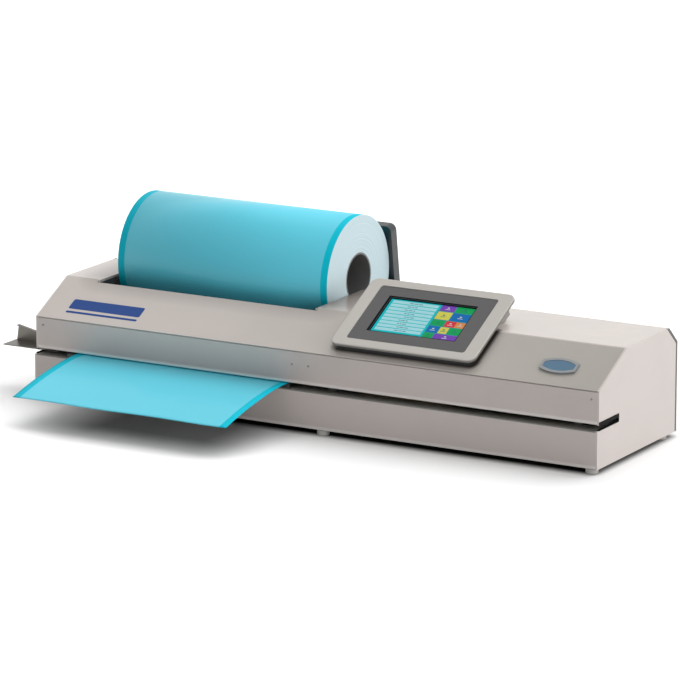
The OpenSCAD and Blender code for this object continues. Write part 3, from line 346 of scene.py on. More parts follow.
def opened(material):
    """A finish's tree, its shader's inputs and its colour, to lay a tone over it."""
    shader = material.node_tree.nodes["Principled BSDF"].inputs
    return Tree(material.node_tree), shader, shader["Base Color"].links[0].from_socket


def front_finish(name, colour, fold_highlight_colour):
    """Housing paint with a painted highlight on the folded edges, and painted shade just above the film."""
    material = finish(name, colour, 0.46, scale=1400.0, depth=0.05, mottle=0.025, marks=0.05)
    tree, shader, paint = opened(material)
    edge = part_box("upper_front_panel")[0][2]
    fold_highlights = group_node(tree, "Painted Fold Highlights", fold_highlight_group, {
        "Upper Edge": edge, "Lower Edge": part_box("base_housing")[0][2]})
    # Painted shade on the front sheet just above the hanging film, fading upward and out past the film's sides
    low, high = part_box("film_web")
    web = footprint(tree, (low[0] + 60 * MM, low[1]), (high[0] - 30 * MM, high[1]))
    fade_out, fade_up = 90 * MM, 46 * MM
    z = tree.along(tree.place(), 2)
    above = tree.math("MULTIPLY", tree.ramp(z, edge - 1 * MM, edge),
                      tree.ramp(z, edge, edge + fade_up, 1.0, 0.0))
    near = tree.math("MULTIPLY", above, tree.ramp(web, 0.0, fade_out, 1.0, 0.0))
    paint = tree.vector("MULTIPLY", paint, tree.mix(near, WHITE, (0.7, 0.65, 0.67, 1)))
    # Painted highlight: the folded edges are mixed toward the paler fold colour
    tree.link(tree.mix(fold_highlights["Fold"], paint, tuple(fold_highlight_colour)), shader["Base Color"])
    return material


def cover_finish(name, colour):
    """Cover paint with painted shade close round the display, next to the reel and toward the right."""
    material = finish(name, colour, 0.25, scale=1400.0, mottle=0.025, marks=0.05)
    tree, shader, paint = opened(material)
    # Painted shade on the cover close round the display, darkest where the frame stands over it
    low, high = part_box("display_frame")
    corner, lean, dark, fade = 12 * MM, 6 * MM, 2 * MM, 5 * MM
    display = footprint(tree, (low[0] + corner, low[1] + lean + corner),
                        (high[0] - corner, CREST_Y))
    near = tree.mix(tree.ramp(display, corner - dark, corner + fade),
                    (0.1, 0.09, 0.08, 1), WHITE)
    # Painted shade on the deck next to the reel's right-hand end
    low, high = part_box("reel_film")
    reel_side, reel_fade = 10 * MM, 70 * MM
    reel = footprint(tree, low, (high[0] + reel_side, high[1]))
    reel_shade = tree.mix(tree.ramp(reel, 0.0, reel_fade), (0.4, 0.39, 0.38, 1), WHITE)
    # Painted shade over the right-hand part of the sloping cover, stopping at the crest
    at = tree.place()
    right = tree.ramp(tree.along(at, 0), LEFT_X + 300 * MM, LEFT_X + 1000 * MM)
    slope = tree.ramp(tree.along(at, 1), CREST_Y - 3 * MM, CREST_Y - 1 * MM, 1.0, 0.0)
    right_shade = tree.mix(tree.math("MULTIPLY", right, slope), WHITE, (0.7, 0.72, 0.7, 1))
    for shade in (near, reel_shade, right_shade):
        paint = tree.vector("MULTIPLY", paint, shade)
    tree.link(paint, shader["Base Color"])
    return material


def display_finish(name, colour):
    """Moulded plastic with painted shade down the sides of the frame, darker there than on its face."""
    material = finish(name, colour, 0.42, scale=1600.0, depth=0.05, mottle=0.025, marks=0.04)
    tree, shader, plain = opened(material)
    up = (0, -math.sin(SLOPE), math.cos(SLOPE))
    height = tree.measure("DOT_PRODUCT",
                          tree.vector("SUBTRACT", tree.place(), tuple(on_slope(0, 0))), up)
    # Painted shade: below the face, the frame's sides mix toward a darker copy of its colour
    face = tree.ramp(height, DISPLAY_RISE - 2.2 * MM, DISPLAY_RISE - 0.6 * MM)
    tree.link(tree.mix(face, toned(colour, 0.4), plain), shader["Base Color"])
    return material


def film_finish(name, end_faces):
    """Blue laminate film with sealed edges. On the reel its ends show the wound rings."""
    size, colour = sizes(), colours()
    low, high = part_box("reel_film")
    film_rough, seam_rough, end_rough = 0.3, 0.55, 0.6
    material, tree, shader = empty_material(
        name, film_rough, {"Coat Roughness": 0.12, "Specular IOR Level": 0.12})
    seams = group_node(tree, "Film Seams", seam_group, {
        "Centre": (low[0] + high[0]) / 2, "Half Width": (high[0] - low[0]) / 2,
        "Seam Width": size.seam_width, "Line": size.seam_line})
    seam, lines = seams["Seam"], seams["Lines"]
    grain = group_node(tree, "Surface Grain", grain_group,
                       {"Scale": 260.0, "Stretch": (0.15, 1, 1)})
    tint = tree.mix(grain["Mottle"], tuple(colour.film), toned(colour.film, 1.06))
    tint = tree.mix(seam, tint, tuple(colour.seam))
    tint = tree.mix(tree.math("MULTIPLY", lines, 0.5), tint, toned(colour.seam, 0.85))
    rough = tree.ramp(seam, 0, 1, film_rough, seam_rough)
    if end_faces:
        axis = joint_at("reel_spin")
        apart = tree.vector("SUBTRACT", tree.place(), (0, axis[0], axis[1]))
        radius = tree.measure("LENGTH", tree.vector("MULTIPLY", apart, (0, 1, 1)))
        spot = tree.add("ShaderNodeCombineXYZ", {0: radius}).outputs[0]
        rings = tree.ramp(tree.noise(spot, 900.0, detail=4.0, rough=0.7), 0.3, 0.7)
        end_tint = tree.mix(rings, toned(colour.reel_end, 0.93), tuple(colour.reel_end))
        across = tree.along(tree.add("ShaderNodeNewGeometry").outputs["Normal"], 0)
        is_end = tree.math("GREATER_THAN", tree.math("ABSOLUTE", across), 0.7)
        tint = tree.mix(is_end, tint, end_tint)
        rough = tree.math("MAXIMUM", rough, tree.math("MULTIPLY", is_end, end_rough))
    tree.link(tree.ramp(seam, 0, 1, 0.2, 0.0), shader["Coat Weight"])
    tree.link(tint, shader["Base Color"])
    tree.link(rough, shader["Roughness"])
    tree.link(tree.bump(grain["Height"], 0.1 * MM, 0.35), shader["Normal"])
    return material


def board_finish(name):
    """Green solder mask with paler tracks under it."""
    material, tree, shader = empty_material(name, 0.35, {"Coat Weight": 0.3})
    cells = tree.add("ShaderNodeTexVoronoi", {"Vector": tree.place(), "Scale": 220.0},
                     distance="MANHATTAN", feature="DISTANCE_TO_EDGE").outputs[0]
    track = tree.ramp(cells, 0.02, 0.06)
    tint = tree.mix(track, (0.08, 0.3, 0.12, 1), (0.025, 0.14, 0.05, 1))
    tree.link(tint, shader["Base Color"])
    tree.link(tree.bump(track, 0.03 * MM, 0.4), shader["Normal"])
    return material


def picture_finish(name):
    """The lit picture: each patch glows in its own colour."""
    material, tree, shader = empty_material(
        name, 0.4, {"Emission Strength": 0.6, "Specular IOR Level": 0.1})
    tint = tree.add("ShaderNodeAttribute", attribute_name="Patch").outputs["Color"]
    weak = tree.ramp(tree.noise(tree.place(), 60.0), 0.3, 0.7, 0.93, 1.0)
    tree.link(tree.scale(tint, 0.25), shader["Base Color"])
    tree.link(tree.scale(tint, weak), shader["Emission Color"])
    return material


def slot_finishes():
    """The finish of each material slot of the record."""
    colour = colours()
    rolled, turned = (0.02, 1, 1), (1, 0.02, 0.02)
    return {
        "front_paint": front_finish("Front Paint", colour.front, colour.fold),
        "side_paint": finish("Housing Paint", colour.paint, 0.46, scale=1400.0, depth=0.05,
                             mottle=0.025, marks=0.05),
        "cover_paint": cover_finish("Cover Paint", colour.cover),
        "rear_paint": finish("Rear Paint", colour.rear, 0.45, scale=1400.0, depth=0.05,
                             mottle=0.05),
        "black_paint": finish("Black Paint", colour.black, 0.32, scale=1200.0,
                              mottle=0.1, marks=0.08),
        "bed_paint": finish("Bed Paint", (0.2, 0.196, 0.182, 1), 0.4, scale=1200.0,
                            mottle=0.1),
        "foot_rubber": finish("Foot Rubber", (0.5, 0.48, 0.46, 1), 0.75, scale=700.0,
                              depth=0.08),
        "trim_rubber": finish("Trim Rubber", (0.008, 0.008, 0.008, 1), 0.7, scale=700.0,
                              depth=0.08, Specular_IOR_Level=0.1),
        "screw_steel": finish("Screw Steel", (0.4, 0.375, 0.36, 1), 0.4, scale=1500.0,
                              depth=0.02, Metallic=0.3),
        "stainless": finish("Stainless Sheet", (0.16, 0.15, 0.135, 1), 0.34, depth=0.04,
                            stretch=rolled, Metallic=1.0),
        "blade_steel": finish("Blade Steel", (0.7, 0.71, 0.72, 1), 0.18, depth=0.02,
                              stretch=(1, 1, 0.05), Metallic=1.0),
        "core_plastic": finish("Core Board", (0.2, 0.2, 0.2, 1), 0.7, scale=500.0,
                               depth=0.1, mottle=0.1),
        "roller_metal": finish("Turned Aluminium", (0.32, 0.325, 0.33, 1), 0.4,
                               scale=1200.0, depth=0.04, stretch=turned, Metallic=1.0),
        "roller_rubber": finish("Roller Rubber", (0.03, 0.03, 0.032, 1), 0.6, scale=800.0,
                                depth=0.05),
        "motor_paint": finish("Motor Paint", (0.05, 0.05, 0.055, 1), 0.4, depth=0.04),
        "black_plastic": finish("Black Plastic", (0.02, 0.02, 0.021, 1), 0.5, depth=0.06),
        "belt": finish("Coated Belt", (0.09, 0.06, 0.04, 1), 0.6, scale=1500.0, depth=0.12,
                       stretch=(1, 0.3, 1)),
        "gear_plastic": finish("Gear Plastic", (0.66, 0.61, 0.5, 1), 0.45, scale=600.0),
        "heater_brass": finish("Heater Brass", (0.2, 0.15, 0.08, 1), 0.4,
                               stretch=rolled, Metallic=1.0),
        "display_plastic": display_finish("Display Plastic", colour.display),
        # Painted shade: the light plastic is given a darker colour than its own
        "housing_plastic": finish("Light Plastic In Painted Shade", (0.3, 0.285, 0.27, 1), 0.45,
                                  scale=1600.0, depth=0.05, mottle=0.03, marks=0.04),
        "panel_plastic": finish("Panel Plastic", colour.panel, 0.4, scale=1800.0,
                                depth=0.02, mottle=0.03, marks=0.04),
        "screen": finish("Screen Glass", (0.01, 0.012, 0.014, 1), 0.12, scale=300.0,
                         depth=0.005, mottle=0.02, marks=0.03, Coat_Weight=0.5),
        "board": board_finish("Circuit Board"),
        "badge_metal": finish("Badge Rim", (0.29, 0.31, 0.32, 1), 0.3, scale=600.0,
                              depth=0.01, mottle=0.02, marks=0.04, Metallic=0.5),
        "badge_blue": finish("Badge Enamel", colour.badge, 0.35, scale=400.0, depth=0.02,
                             mottle=0.06, marks=0.05, Coat_Weight=0.3),
        "film": film_finish("Wound Film", True),
    }


# Pieces


def add_piece(name, mesh, body, materials=()):
    piece = bpy.data.objects.new(name, mesh)
    bpy.context.collection.objects.link(piece)
    for material in materials:
        mesh.materials.append(material)
    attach(piece, body)
    return piece


def mesh_from(name, build):
    shape = bmesh.new()
    build(shape)
    mesh = bpy.data.meshes.new(name)
    shape.to_mesh(mesh)
    shape.free()
    return mesh


def wound_film_mesh():
    """The wound film as a ring whose ends show its layers, each a little in or out."""
    size = sizes()
    low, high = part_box("reel_film")
    play, edge = 0.05 * MM, 0.6 * MM
    inner, outer = 41.1 * MM, (high[2] - low[2]) / 2 - play
    axis = joint_at("reel_spin")
    draw = random.Random(11)

    def end(side):
        x = high[0] if side > 0 else low[0]
        points = []
        for i in range(size.rings + 1):
            r = inner + (outer - edge - inner) * i / size.rings
            points.append((x - side * size.ring_step * draw.random(), r))
        points.append((x - side * edge, outer))
        return points

    profile = end(-1) + list(reversed(end(1)))

    def build(shape):
        turns = 144
        rows = []
        for k in range(turns):
            a = math.tau * k / turns
            rows.append([shape.verts.new((x, axis[0] + r * math.cos(a),
                                          axis[1] + r * math.sin(a)))
                         for x, r in profile])
        count = len(profile)
        for k in range(turns):
            here, after = rows[k], rows[(k + 1) % turns]
            for i in range(count):
                j = (i + 1) % count
                shape.faces.new((here[i], here[j], after[j], after[i]))
        bmesh.ops.recalc_face_normals(shape, faces=shape.faces)
        for face in shape.faces:
            face.smooth = abs(face.normal.x) < 0.3
    return mesh_from("wound_film", build)


def web_path():
    """The web's centre line from the reel to its free end, with the way to its paper side."""
    front, pinch = joint_at("front_roller_spin"), joint_at("pinch_spin")
    gap = 0.55 * MM
    wrap_front, wrap_pinch = (
        (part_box(roller)[1][2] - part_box(roller)[0][2]) / 2 + gap
        for roller in ("front_support_roller", "pinch_roller"))
    run = front - pinch
    turn = math.atan2(run[1], run[0]) - math.acos((wrap_pinch - wrap_front) / run.length)
    path = []

    def arc(centre, radius, start, stop, steps):
        for i in range(steps + 1):
            a = start + (stop - start) * i / steps
            way = Vector((math.cos(a), math.sin(a)))
            path.append((centre + radius * way, way))

    off_reel = math.radians(50)
    arc(front, wrap_front, off_reel, turn, 24)
    first, way = path[-1]
    last = pinch + wrap_pinch * way
    steps = 12
    for i in range(1, steps):
        path.append((first.lerp(last, i / steps), way))
    arc(pinch, wrap_pinch, turn, -math.pi / 2, 12)
    level = pinch[1] - wrap_pinch
    bend = FRONT_Y - 5 * MM
    free_end = cad_low[1] + 0.06 * MM
    hang, curve, steps = 30.7 * MM, 1.5, 60
    droop = hang / (bend - free_end) ** curve
    for i in range(1, steps + 1):
        y = pinch[0] + (free_end - pinch[0]) * i / steps
        past = max(0.0, bend - y)
        z = level - droop * past ** curve
        fall = curve * droop * past ** (curve - 1)
        path.append((Vector((y, z)), Vector((fall, -1)).normalized()))
    return path


def web_mesh():
    """The film web: its blue side over its paper side, joined round the edges."""
    size = sizes()
    low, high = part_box("film_web")
    path = web_path()
    columns = 40
    half = size.film_thickness / 2
    taut, slack = 12 * MM, 176 * MM
    waves_across, waves_along = 31, 24

    def build(shape):
        sides = []
        for side in (-half, half):
            rows = []
            for at, way in path:
                row = []
                for i in range(columns + 1):
                    x = low[0] + (high[0] - low[0]) * i / columns
                    loose = max(0.0, FRONT_Y - taut - at[0]) / slack
                    turn = x * waves_across + at[0] * waves_along
                    wave = size.ripple * loose * math.sin(turn)
                    spot = at + way * side
                    row.append(shape.verts.new((x, spot[0], spot[1] + wave)))
                rows.append(row)
            sides.append(rows)
        blue, paper = sides
        for rows, index in ((blue, 0), (paper, 1)):
            for k in range(len(rows) - 1):
                for i in range(columns):
                    face = shape.faces.new((rows[k][i], rows[k][i + 1],
                                            rows[k + 1][i + 1], rows[k + 1][i]))
                    face.material_index = index
                    face.smooth = True
        for k in range(len(path) - 1):
            for i in (0, columns):
                shape.faces.new((blue[k][i], blue[k + 1][i], paper[k + 1][i], paper[k][i]))
        for k in (0, len(path) - 1):
            for i in range(columns):
                shape.faces.new((blue[k][i], blue[k][i + 1], paper[k][i + 1], paper[k][i]))
        bmesh.ops.recalc_face_normals(shape, faces=shape.faces)
    length = sum((path[k + 1][0] - path[k][0]).length for k in range(len(path) - 1))
    return mesh_from("film_sheet", build), length


def rounded_points(width, height, radius, steps=8):
    """Corner points of a rounded rectangle round the origin, anticlockwise."""
    points = []
    for quarter in range(4):
        sx = 1 if quarter in (0, 3) else -1
        sy = 1 if quarter < 2 else -1
        for i in range(steps + 1):
            a = (quarter + i / steps) * math.pi / 2
            points.append((sx * (width / 2 - radius) + radius * math.cos(a),
                           sy * (height / 2 - radius) + radius * math.sin(a)))
    return points


def slope_plate(shape, centre, outline, bottom, top):
    """A thin plate on the sloping cover, with its outline round centre (x, s)."""
    levels = [[shape.verts.new(on_slope(centre[0] + x, centre[1] + s, h))
               for x, s in outline] for h in (bottom, top)]
    shape.faces.new(levels[1])
    shape.faces.new(list(reversed(levels[0])))
    count = len(outline)
    for i in range(count):
        j = (i + 1) % count
        shape.faces.new((levels[0][i], levels[0][j], levels[1][j], levels[1][i]))


def stripes_mesh():
    """Two plain printed stripes on the left of the sloping cover."""
    centre, length, base = 115.5 * MM, 137 * MM, 0.01 * MM
    stripes = ((40 * MM, 24 * MM, 3 * MM), (20 * MM, 5 * MM, 2.4 * MM))

    def build(shape):
        for s, width, corner in stripes:
            slope_plate(shape, (centre, s), rounded_points(length, width, corner),
                        base, sizes().print_lift)
    return mesh_from("printed_stripes", build)


def picture_patches():
    """The picture's patches as (left, top, right, bottom, layer, colour) in shares."""
    turquoise, row, ink = (0.0, 0.58, 0.62), (0.42, 0.78, 0.84), (0.02, 0.16, 0.2)
    purple, green, yellow = (0.2, 0.06, 0.5), (0.0, 0.4, 0.1), (0.72, 0.68, 0.1)
    blue, red, orange = (0.0, 0.17, 0.5), (0.75, 0.04, 0.06), (0.75, 0.28, 0.08)
    white, teal = (0.7, 0.7, 0.7), (0.03, 0.3, 0.34)
    patches = [(0, 0, 1, 1, 0, turquoise), (0.6, 0, 1, 1, 1, teal)]
    draw = random.Random(5)
    for i in range(9):
        top = 0.03 + 0.103 * i
        patches.append((0.03, top, 0.575, top + 0.082, 1, row))
        left = 0.27 - 0.05 * draw.random()
        for _ in range(3):
            right = left + 0.02 + 0.03 * draw.random()
            patches.append((left, top + 0.034, right, top + 0.05, 2, ink))
            left = right + 0.008
    tiles = (
        (0.61, 0.0, 0.78, 0.17, purple), (0.79, 0.0, 1.0, 0.17, green),
        (0.61, 0.19, 0.78, 0.42, yellow), (0.79, 0.19, 1.0, 0.42, blue),
        (0.61, 0.44, 0.76, 0.61, green), (0.77, 0.44, 0.89, 0.61, red),
        (0.89, 0.44, 1.0, 0.61, orange), (0.61, 0.63, 0.74, 0.82, blue),
        (0.75, 0.63, 0.85, 0.82, yellow), (0.86, 0.63, 1.0, 0.82, green),
        (0.61, 0.84, 0.72, 1.0, green), (0.73, 0.84, 1.0, 1.0, purple))
    for left, top, right, bottom, tint in tiles:
        patches.append((left, top, right, bottom, 2, tint))
        x, y = (left + right) / 2, (top + bottom) / 2
        mark = ink if tint in (yellow, green) else white
        patches.append((x - 0.012, y - 0.035, x + 0.012, y - 0.005, 3, mark))
        patches.append((x - 0.03, y + 0.02, x + 0.03, y + 0.035, 3, mark))
    return patches


def picture_mesh():
    """The picture on the screen, as flat patches that each carry a colour."""
    wide, tall = 152 * MM, 81 * MM
    base, layer_lift = 11.45 * MM, 0.02 * MM
    patches = picture_patches()

    def build(shape):
        tint = shape.faces.layers.float_color.new("Patch")
        for left, top, right, bottom, layer, colour in patches:
            h = base + layer_lift * layer
            corners = ((left, bottom), (right, bottom), (right, top), (left, top))
            spots = [shape.verts.new(on_slope(DISPLAY_X + (u - 0.5) * wide,
                                              DISPLAY_S + (0.5 - v) * tall, h))
                     for u, v in corners]
            face = shape.faces.new(spots)
            face[tint] = (*colour, 1)
    return mesh_from("screen_picture", build)


def border_and_shadow_mesh():
    """A thin black border printed on the panel, widened at the left and the top by painted shadow of the screen's
    recess.
    """
    size = sizes()
    half_w, half_h = 77.4 * MM, 41.9 * MM
    base = PANEL_RISE + 0.02 * MM

    def strip(shape, left, low, right, high):
        outline = [(right, high), (left, high), (left, low), (right, low)]
        slope_plate(shape, (DISPLAY_X, DISPLAY_S), outline, base, base + size.print_lift)

    def build(shape):
        wide, tall, thin = size.border_and_shadow_left, size.border_and_shadow_top, 1 * MM
        # The wide strips at the left and the top are painted shadow of the recess; the thin ones are printed
        # border
        strip(shape, -half_w - wide, -half_h - thin, -half_w, half_h + tall)
        strip(shape, -half_w, half_h, half_w + thin, half_h + tall)
        strip(shape, half_w, -half_h - thin, half_w + thin, half_h)
        strip(shape, -half_w, -half_h - thin, half_w, -half_h)
    return mesh_from("screen_border_and_shadow", build)


def screw_tree(material):
    """Screw heads with a cross recess, one on each point."""
    tree = bpy.data.node_groups.new("Screw Heads", "GeometryNodeTree")
    face = tree.interface
    face.new_socket("Geometry", in_out="INPUT", socket_type="NodeSocketGeometry")
    for label in ("Head Diameter", "Head Rise", "Recess Width"):
        face.new_socket(label, in_out="INPUT", socket_type="NodeSocketFloat")
    face.new_socket("Turn", in_out="INPUT", socket_type="NodeSocketVector")
    face.new_socket("Geometry", in_out="OUTPUT", socket_type="NodeSocketGeometry")
    made = Tree(tree)
    given, out = made.add("NodeGroupInput").outputs, made.add("NodeGroupOutput").inputs
    radius = made.math("MULTIPLY", given["Head Diameter"], 0.5)
    crown, cross_span, cross_depth = 0.82, 0.6, 1.2
    head = made.add("GeometryNodeMeshCone", {
        "Vertices": 28, "Radius Bottom": radius, "Depth": given["Head Rise"],
        "Radius Top": made.math("MULTIPLY", radius, crown)})
    arm = made.math("MULTIPLY", given["Head Diameter"], cross_span)
    deep = made.math("MULTIPLY", given["Head Rise"], cross_depth)
    bars = []
    for across in (False, True):
        wide, long = (given["Recess Width"], arm) if across else (arm, given["Recess Width"])
        box = made.add("ShaderNodeCombineXYZ", {0: wide, 1: long, 2: deep}).outputs[0]
        bars.append(made.add("GeometryNodeMeshCube", {"Size": box}).outputs[0])
    place = made.add("ShaderNodeCombineXYZ", {2: given["Head Rise"]}).outputs[0]
    cross = made.add("GeometryNodeJoinGeometry")
    for bar in bars:
        moved = made.add("GeometryNodeTransform", {"Geometry": bar, "Translation": place})
        made.link(moved.outputs[0], cross.inputs[0])
    cut = made.add("GeometryNodeMeshBoolean", {0: head.outputs[0], 1: cross.outputs[0]},
                   operation="DIFFERENCE")
    spread = made.add("GeometryNodeInstanceOnPoints", {
        "Points": given["Geometry"], "Instance": cut.outputs[0], "Rotation": given["Turn"]})
    real = made.add("GeometryNodeRealizeInstances", {0: spread.outputs[0]})
    painted = made.add("GeometryNodeSetMaterial", {"Geometry": real.outputs[0],
                                                   "Material": material})
    made.link(painted.outputs[0], out[0])
    return tree


def screws(name, spots, turn, tree):
    """Places screw heads on the spots and makes them one plain mesh."""
    size = sizes()
    mesh = bpy.data.meshes.new(name)
    mesh.from_pydata(spots, [], [])
    piece = bpy.data.objects.new(name, mesh)
    bpy.context.collection.objects.link(piece)
    made = piece.modifiers.new("Heads", "NODES")
    made.node_group = tree
    values = {"Head Diameter": size.screw_head, "Head Rise": size.screw_rise,
              "Recess Width": size.screw_recess, "Turn": turn}
    for item in tree.interface.items_tree:
        if item.in_out == "INPUT" and item.name in values:
            made[item.identifier] = values[item.name]
    seen = piece.evaluated_get(bpy.context.evaluated_depsgraph_get())
    plain = bpy.data.meshes.new_from_object(seen)
    piece.modifiers.remove(made)
    piece.data = plain
    plain.name = name
    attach(piece, "machine")
    return piece


def seen_ray(tree):
    """One for what is seen straight, in a gloss or through glass, and nothing for light."""
    path = tree.add("ShaderNodeLightPath").outputs
    through = tree.math("MAXIMUM", path["Is Glossy Ray"], path["Is Transmission Ray"])
    return tree.math("MAXIMUM", path["Is Camera Ray"], through)


def floor_material():
    """A floor that is white in view and keeps the machine's shadow, with painted shadow under the housing and
    under the hanging film, where its glow in view is also held back.
    """
    material, tree, shader = empty_material("Pale Floor", 0.8, {
        "Specular IOR Level": 0.0, "Emission Color": WHITE})
    low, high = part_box("base_housing")
    inset, right_inset = 12 * MM, 14.4 * MM
    housing = footprint(tree, (low[0] + inset, low[1] + inset),
                        (high[0] - right_inset, high[1] - inset))
    low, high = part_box("film_web")
    web = footprint(tree, (low[0] + 130 * MM, low[1] + 65 * MM),
                    (high[0] - 80 * MM, FRONT_Y))
    seen = seen_ray(tree)
    black, pale = (0.02, 0.02, 0.02, 1), (0.95, 0.95, 0.95, 1)
    shade, bounce = (0.3, 0.3, 0.3, 1), (0.68, 0.68, 0.68, 1)
    # Painted shadow on the floor: black under the housing's edge, and darker under the hanging film
    under = tree.mix(tree.ramp(housing, 0.0, 26 * MM), black, pale)
    shaded = tree.mix(tree.ramp(web, 0.0, 130 * MM), shade, WHITE)
    tint = tree.mix(seen, bounce, tree.vector("MULTIPLY", under, shaded))
    tree.link(tint, shader["Base Color"])
    # The glow in view is held back near the housing and the film, which deepens the painted shadow there
    glow = 0.26
    open_floor = tree.math("ADD", tree.ramp(housing, 10 * MM, 45 * MM, 0.0, 0.35),
                           tree.ramp(housing, 45 * MM, 320 * MM, 0.0, 0.65))
    clear = tree.math("MULTIPLY", open_floor, tree.ramp(web, 20 * MM, 150 * MM))
    lit = tree.math("MULTIPLY", tree.math("MULTIPLY", clear, seen), glow)
    tree.link(lit, shader["Emission Strength"])
    return material


def soft_world():
    """A white studio, brighter overhead than at the horizon, and white in view."""
    world = bpy.data.worlds.new("Studio")
    bpy.context.scene.world = world
    world.use_nodes = True
    tree = Tree(world.node_tree)
    back = world.node_tree.nodes["Background"].inputs
    up = tree.along(tree.add("ShaderNodeTexCoord").outputs["Generated"], 2)
    horizon, overhead = 0.22, 0.6
    level = tree.ramp(up, -0.1, 1.0, horizon, overhead)
    tree.link(tree.math("MAXIMUM", level, seen_ray(tree)), back["Strength"])
    back["Color"].default_value = WHITE


def sun(name, strength, spread, toward):
    """A far soft light from the direction toward, which leaves no highlight. Its spread
    is in degrees."""
    lamp = bpy.data.lights.new(name, "SUN")
    lamp.energy, lamp.angle = strength * math.pi, math.radians(spread)
    light = bpy.data.objects.new(name, lamp)
    bpy.context.collection.objects.link(light)
    light.rotation_euler = Vector(toward).to_track_quat("Z", "Y").to_euler()
    light.visible_glossy = False


# Operators


class SEALER_OT_finishes(bpy.types.Operator):
    """Gives every piece of the machine its finish"""
    bl_idname = "sealer.finishes"
    bl_label = "Finishes"

    def execute(self, context):
        by_slot = slot_finishes()
        for part in frame["record"]["subparts"]:
            node = frame["nodes"][part["node"]]
            node.data.materials.clear()
            node.data.materials.append(by_slot[part["material_slot"]])
        return {"FINISHED"}


class SEALER_OT_film_reel(bpy.types.Operator):
    """Makes the wound film on its core"""
    bl_idname = "sealer.film_reel"
    bl_label = "Film Reel"

    def execute(self, context):
        reel = add_piece("wound_film", wound_film_mesh(), "reel",
                         [bpy.data.materials["Wound Film"]])
        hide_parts("reel_film")
        return {"FINISHED"}


class SEALER_OT_film_web(bpy.types.Operator):
    """Makes the film that runs from the reel and hangs out of the slot"""
    bl_idname = "sealer.film_web"
    bl_label = "Film Web"

    def execute(self, context):
        mesh, length = web_mesh()
        paper = finish("Film Paper Side", colours().paper, 0.7, scale=1500.0, depth=0.05,
                       mottle=0.03)
        web = add_piece("film_sheet", mesh, "machine",
                        [film_finish("Film Web", False), paper])
        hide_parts("film_web")
        return {"FINISHED"}


class SEALER_OT_display_picture(bpy.types.Operator):
    """Lights the screen with a plain menu picture inside its black border and painted recess shadow"""
    bl_idname = "sealer.display_picture"
    bl_label = "Display Picture"

    def execute(self, context):
        ink = finish("Border Ink And Painted Shadow", (0.004, 0.004, 0.006, 1), 0.6, scale=1800.0,
                     depth=0.02, mottle=0.03, Specular_IOR_Level=0.05)
        add_piece("screen_border_and_shadow", border_and_shadow_mesh(), "machine", [ink])
        add_piece("screen_picture", picture_mesh(), "machine",
                  [picture_finish("Screen Picture")])
        return {"FINISHED"}


class SEALER_OT_printed_stripes(bpy.types.Operator):
    """Prints two plain stripes on the sloping cover"""
    bl_idname = "sealer.printed_stripes"
    bl_label = "Printed Stripes"

    def execute(self, context):
        ink = finish("Printed Ink", colours().print_blue, 0.35, scale=800.0, depth=0.02,
                     mottle=0.04, Specular_IOR_Level=0.3)
        add_piece("printed_stripes", stripes_mesh(), "machine", [ink])
        return {"FINISHED"}


class SEALER_OT_screws(bpy.types.Operator):
    """Sets the screws in the front panel and the rear cover"""
    bl_idname = "sealer.screws"
    bl_label = "Screws"

    def execute(self, context):
        rise = sizes().screw_rise / 2
        tree = screw_tree(bpy.data.materials["Screw Steel"])
        front = [(13.5, 118.5), (487, 109.5), (517, 109.5), (1021.5, 118.5)]
        heads = screws("panel_screw_heads",
                       [(LEFT_X + x * MM, FRONT_Y - rise, z * MM) for x, z in front],
                       (math.pi / 2, 0, 0), tree)
        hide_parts("panel_screws")
        rear_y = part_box("rear_cover")[1][1] + rise
        rear = [(x, z) for x in (16, 560, 1019) for z in (22, 145)]
        rear += [(16, 84), (1019, 84)]
        screws("rear_screw_heads", [(LEFT_X + x * MM, rear_y, z * MM) for x, z in rear],
               (-math.pi / 2, 0, 0), tree)
        return {"FINISHED"}


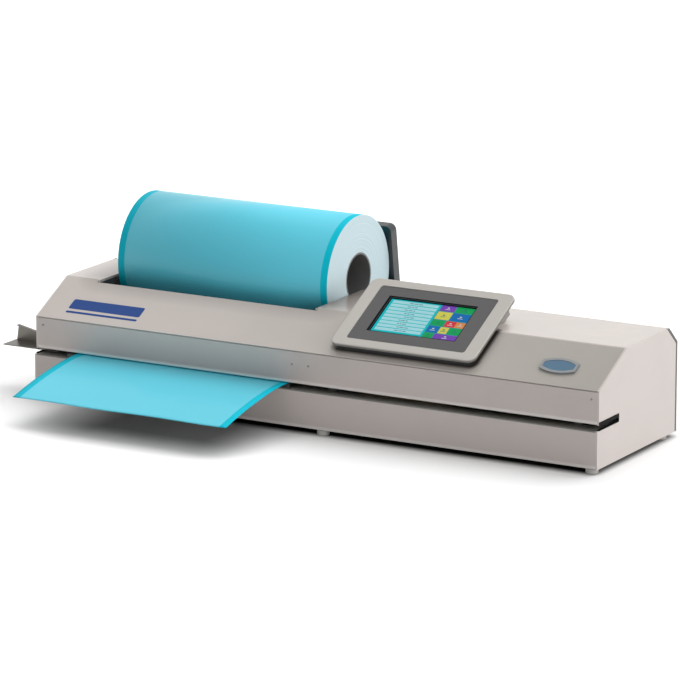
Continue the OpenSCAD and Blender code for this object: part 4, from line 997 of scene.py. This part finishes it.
class SEALER_OT_stage(bpy.types.Operator):
    """Sets the pale floor, the soft light and the camera"""
    bl_idname = "sealer.stage"
    bl_label = "Stage"

    def execute(self, context):
        scene = context.scene
        scene.view_settings.view_transform = "Standard"
        half = 14.0
        floor = bpy.data.meshes.new("floor")
        floor.from_pydata([(-half, -half, 0), (half, -half, 0), (half, half, 0),
                           (-half, half, 0)], [], [(0, 1, 2, 3)])
        ground = bpy.data.objects.new("floor", floor)
        bpy.context.collection.objects.link(ground)
        floor.materials.append(floor_material())
        soft_world()
        sun("Overhead", strength=0.67, spread=60, toward=(0.04, 0.61, 0.79))
        sun("Right Side", strength=0.5, spread=40, toward=(0.99, -0.02, 0.1))
        eye = bpy.data.cameras.new("Photo Camera")
        eye.sensor_width, eye.lens = 36.0, 250.2
        eye.clip_start, eye.clip_end = 0.1, 60
        camera = bpy.data.objects.new("Photo Camera", eye)
        bpy.context.collection.objects.link(camera)
        # The view fitted to the straight edges of the housing in the photograph
        right = Vector((0.867971, 0.496614, -0.000732))
        up = Vector((-0.115392, 0.203114, 0.972332))
        back = Vector((0.483022, -0.843872, 0.233602))
        turn = Matrix((right, up, back)).transposed()
        at = Vector((4190.2, -6314.9, 1907.7)) * MM + Vector((LEFT_X, FRONT_Y, 0))
        camera.matrix_world = Matrix.Translation(at) @ turn.to_4x4()
        scene.camera = camera
        return {"FINISHED"}


class SEALER_PT_panel(bpy.types.Panel):
    """Lists the machine's sizes, colours and pieces"""
    bl_idname = "SEALER_PT_panel"
    bl_label = "Pouch Sealing Machine"
    bl_space_type = "VIEW_3D"
    bl_region_type = "UI"
    bl_category = "Sealer"

    def draw(self, context):
        for group in (context.scene.sealer_sizes, context.scene.sealer_colours):
            column = self.layout.column(align=True)
            for key in group.bl_rna.properties.keys():
                if key not in ("rna_type", "name"):
                    column.prop(group, key)
        for operator in OPERATORS:
            self.layout.operator(operator.bl_idname)


OPERATORS = (SEALER_OT_finishes, SEALER_OT_film_reel, SEALER_OT_film_web,
             SEALER_OT_display_picture, SEALER_OT_printed_stripes, SEALER_OT_screws,
             SEALER_OT_stage)
CLASSES = (SealerSizes, SealerColours) + OPERATORS + (SEALER_PT_panel,)


def register():
    for made in CLASSES:
        bpy.utils.register_class(made)
    bpy.types.Scene.sealer_sizes = bpy.props.PointerProperty(type=SealerSizes)
    bpy.types.Scene.sealer_colours = bpy.props.PointerProperty(type=SealerColours)


def unregister():
    del bpy.types.Scene.sealer_colours
    del bpy.types.Scene.sealer_sizes
    for made in reversed(CLASSES):
        bpy.utils.unregister_class(made)


def main():
    register()
    bpy.ops.sealer.finishes()
    bpy.ops.sealer.film_reel()
    bpy.ops.sealer.film_web()
    bpy.ops.sealer.display_picture()
    bpy.ops.sealer.printed_stripes()
    bpy.ops.sealer.screws()
    bpy.ops.sealer.stage()


if __name__ == "__main__":
    main()
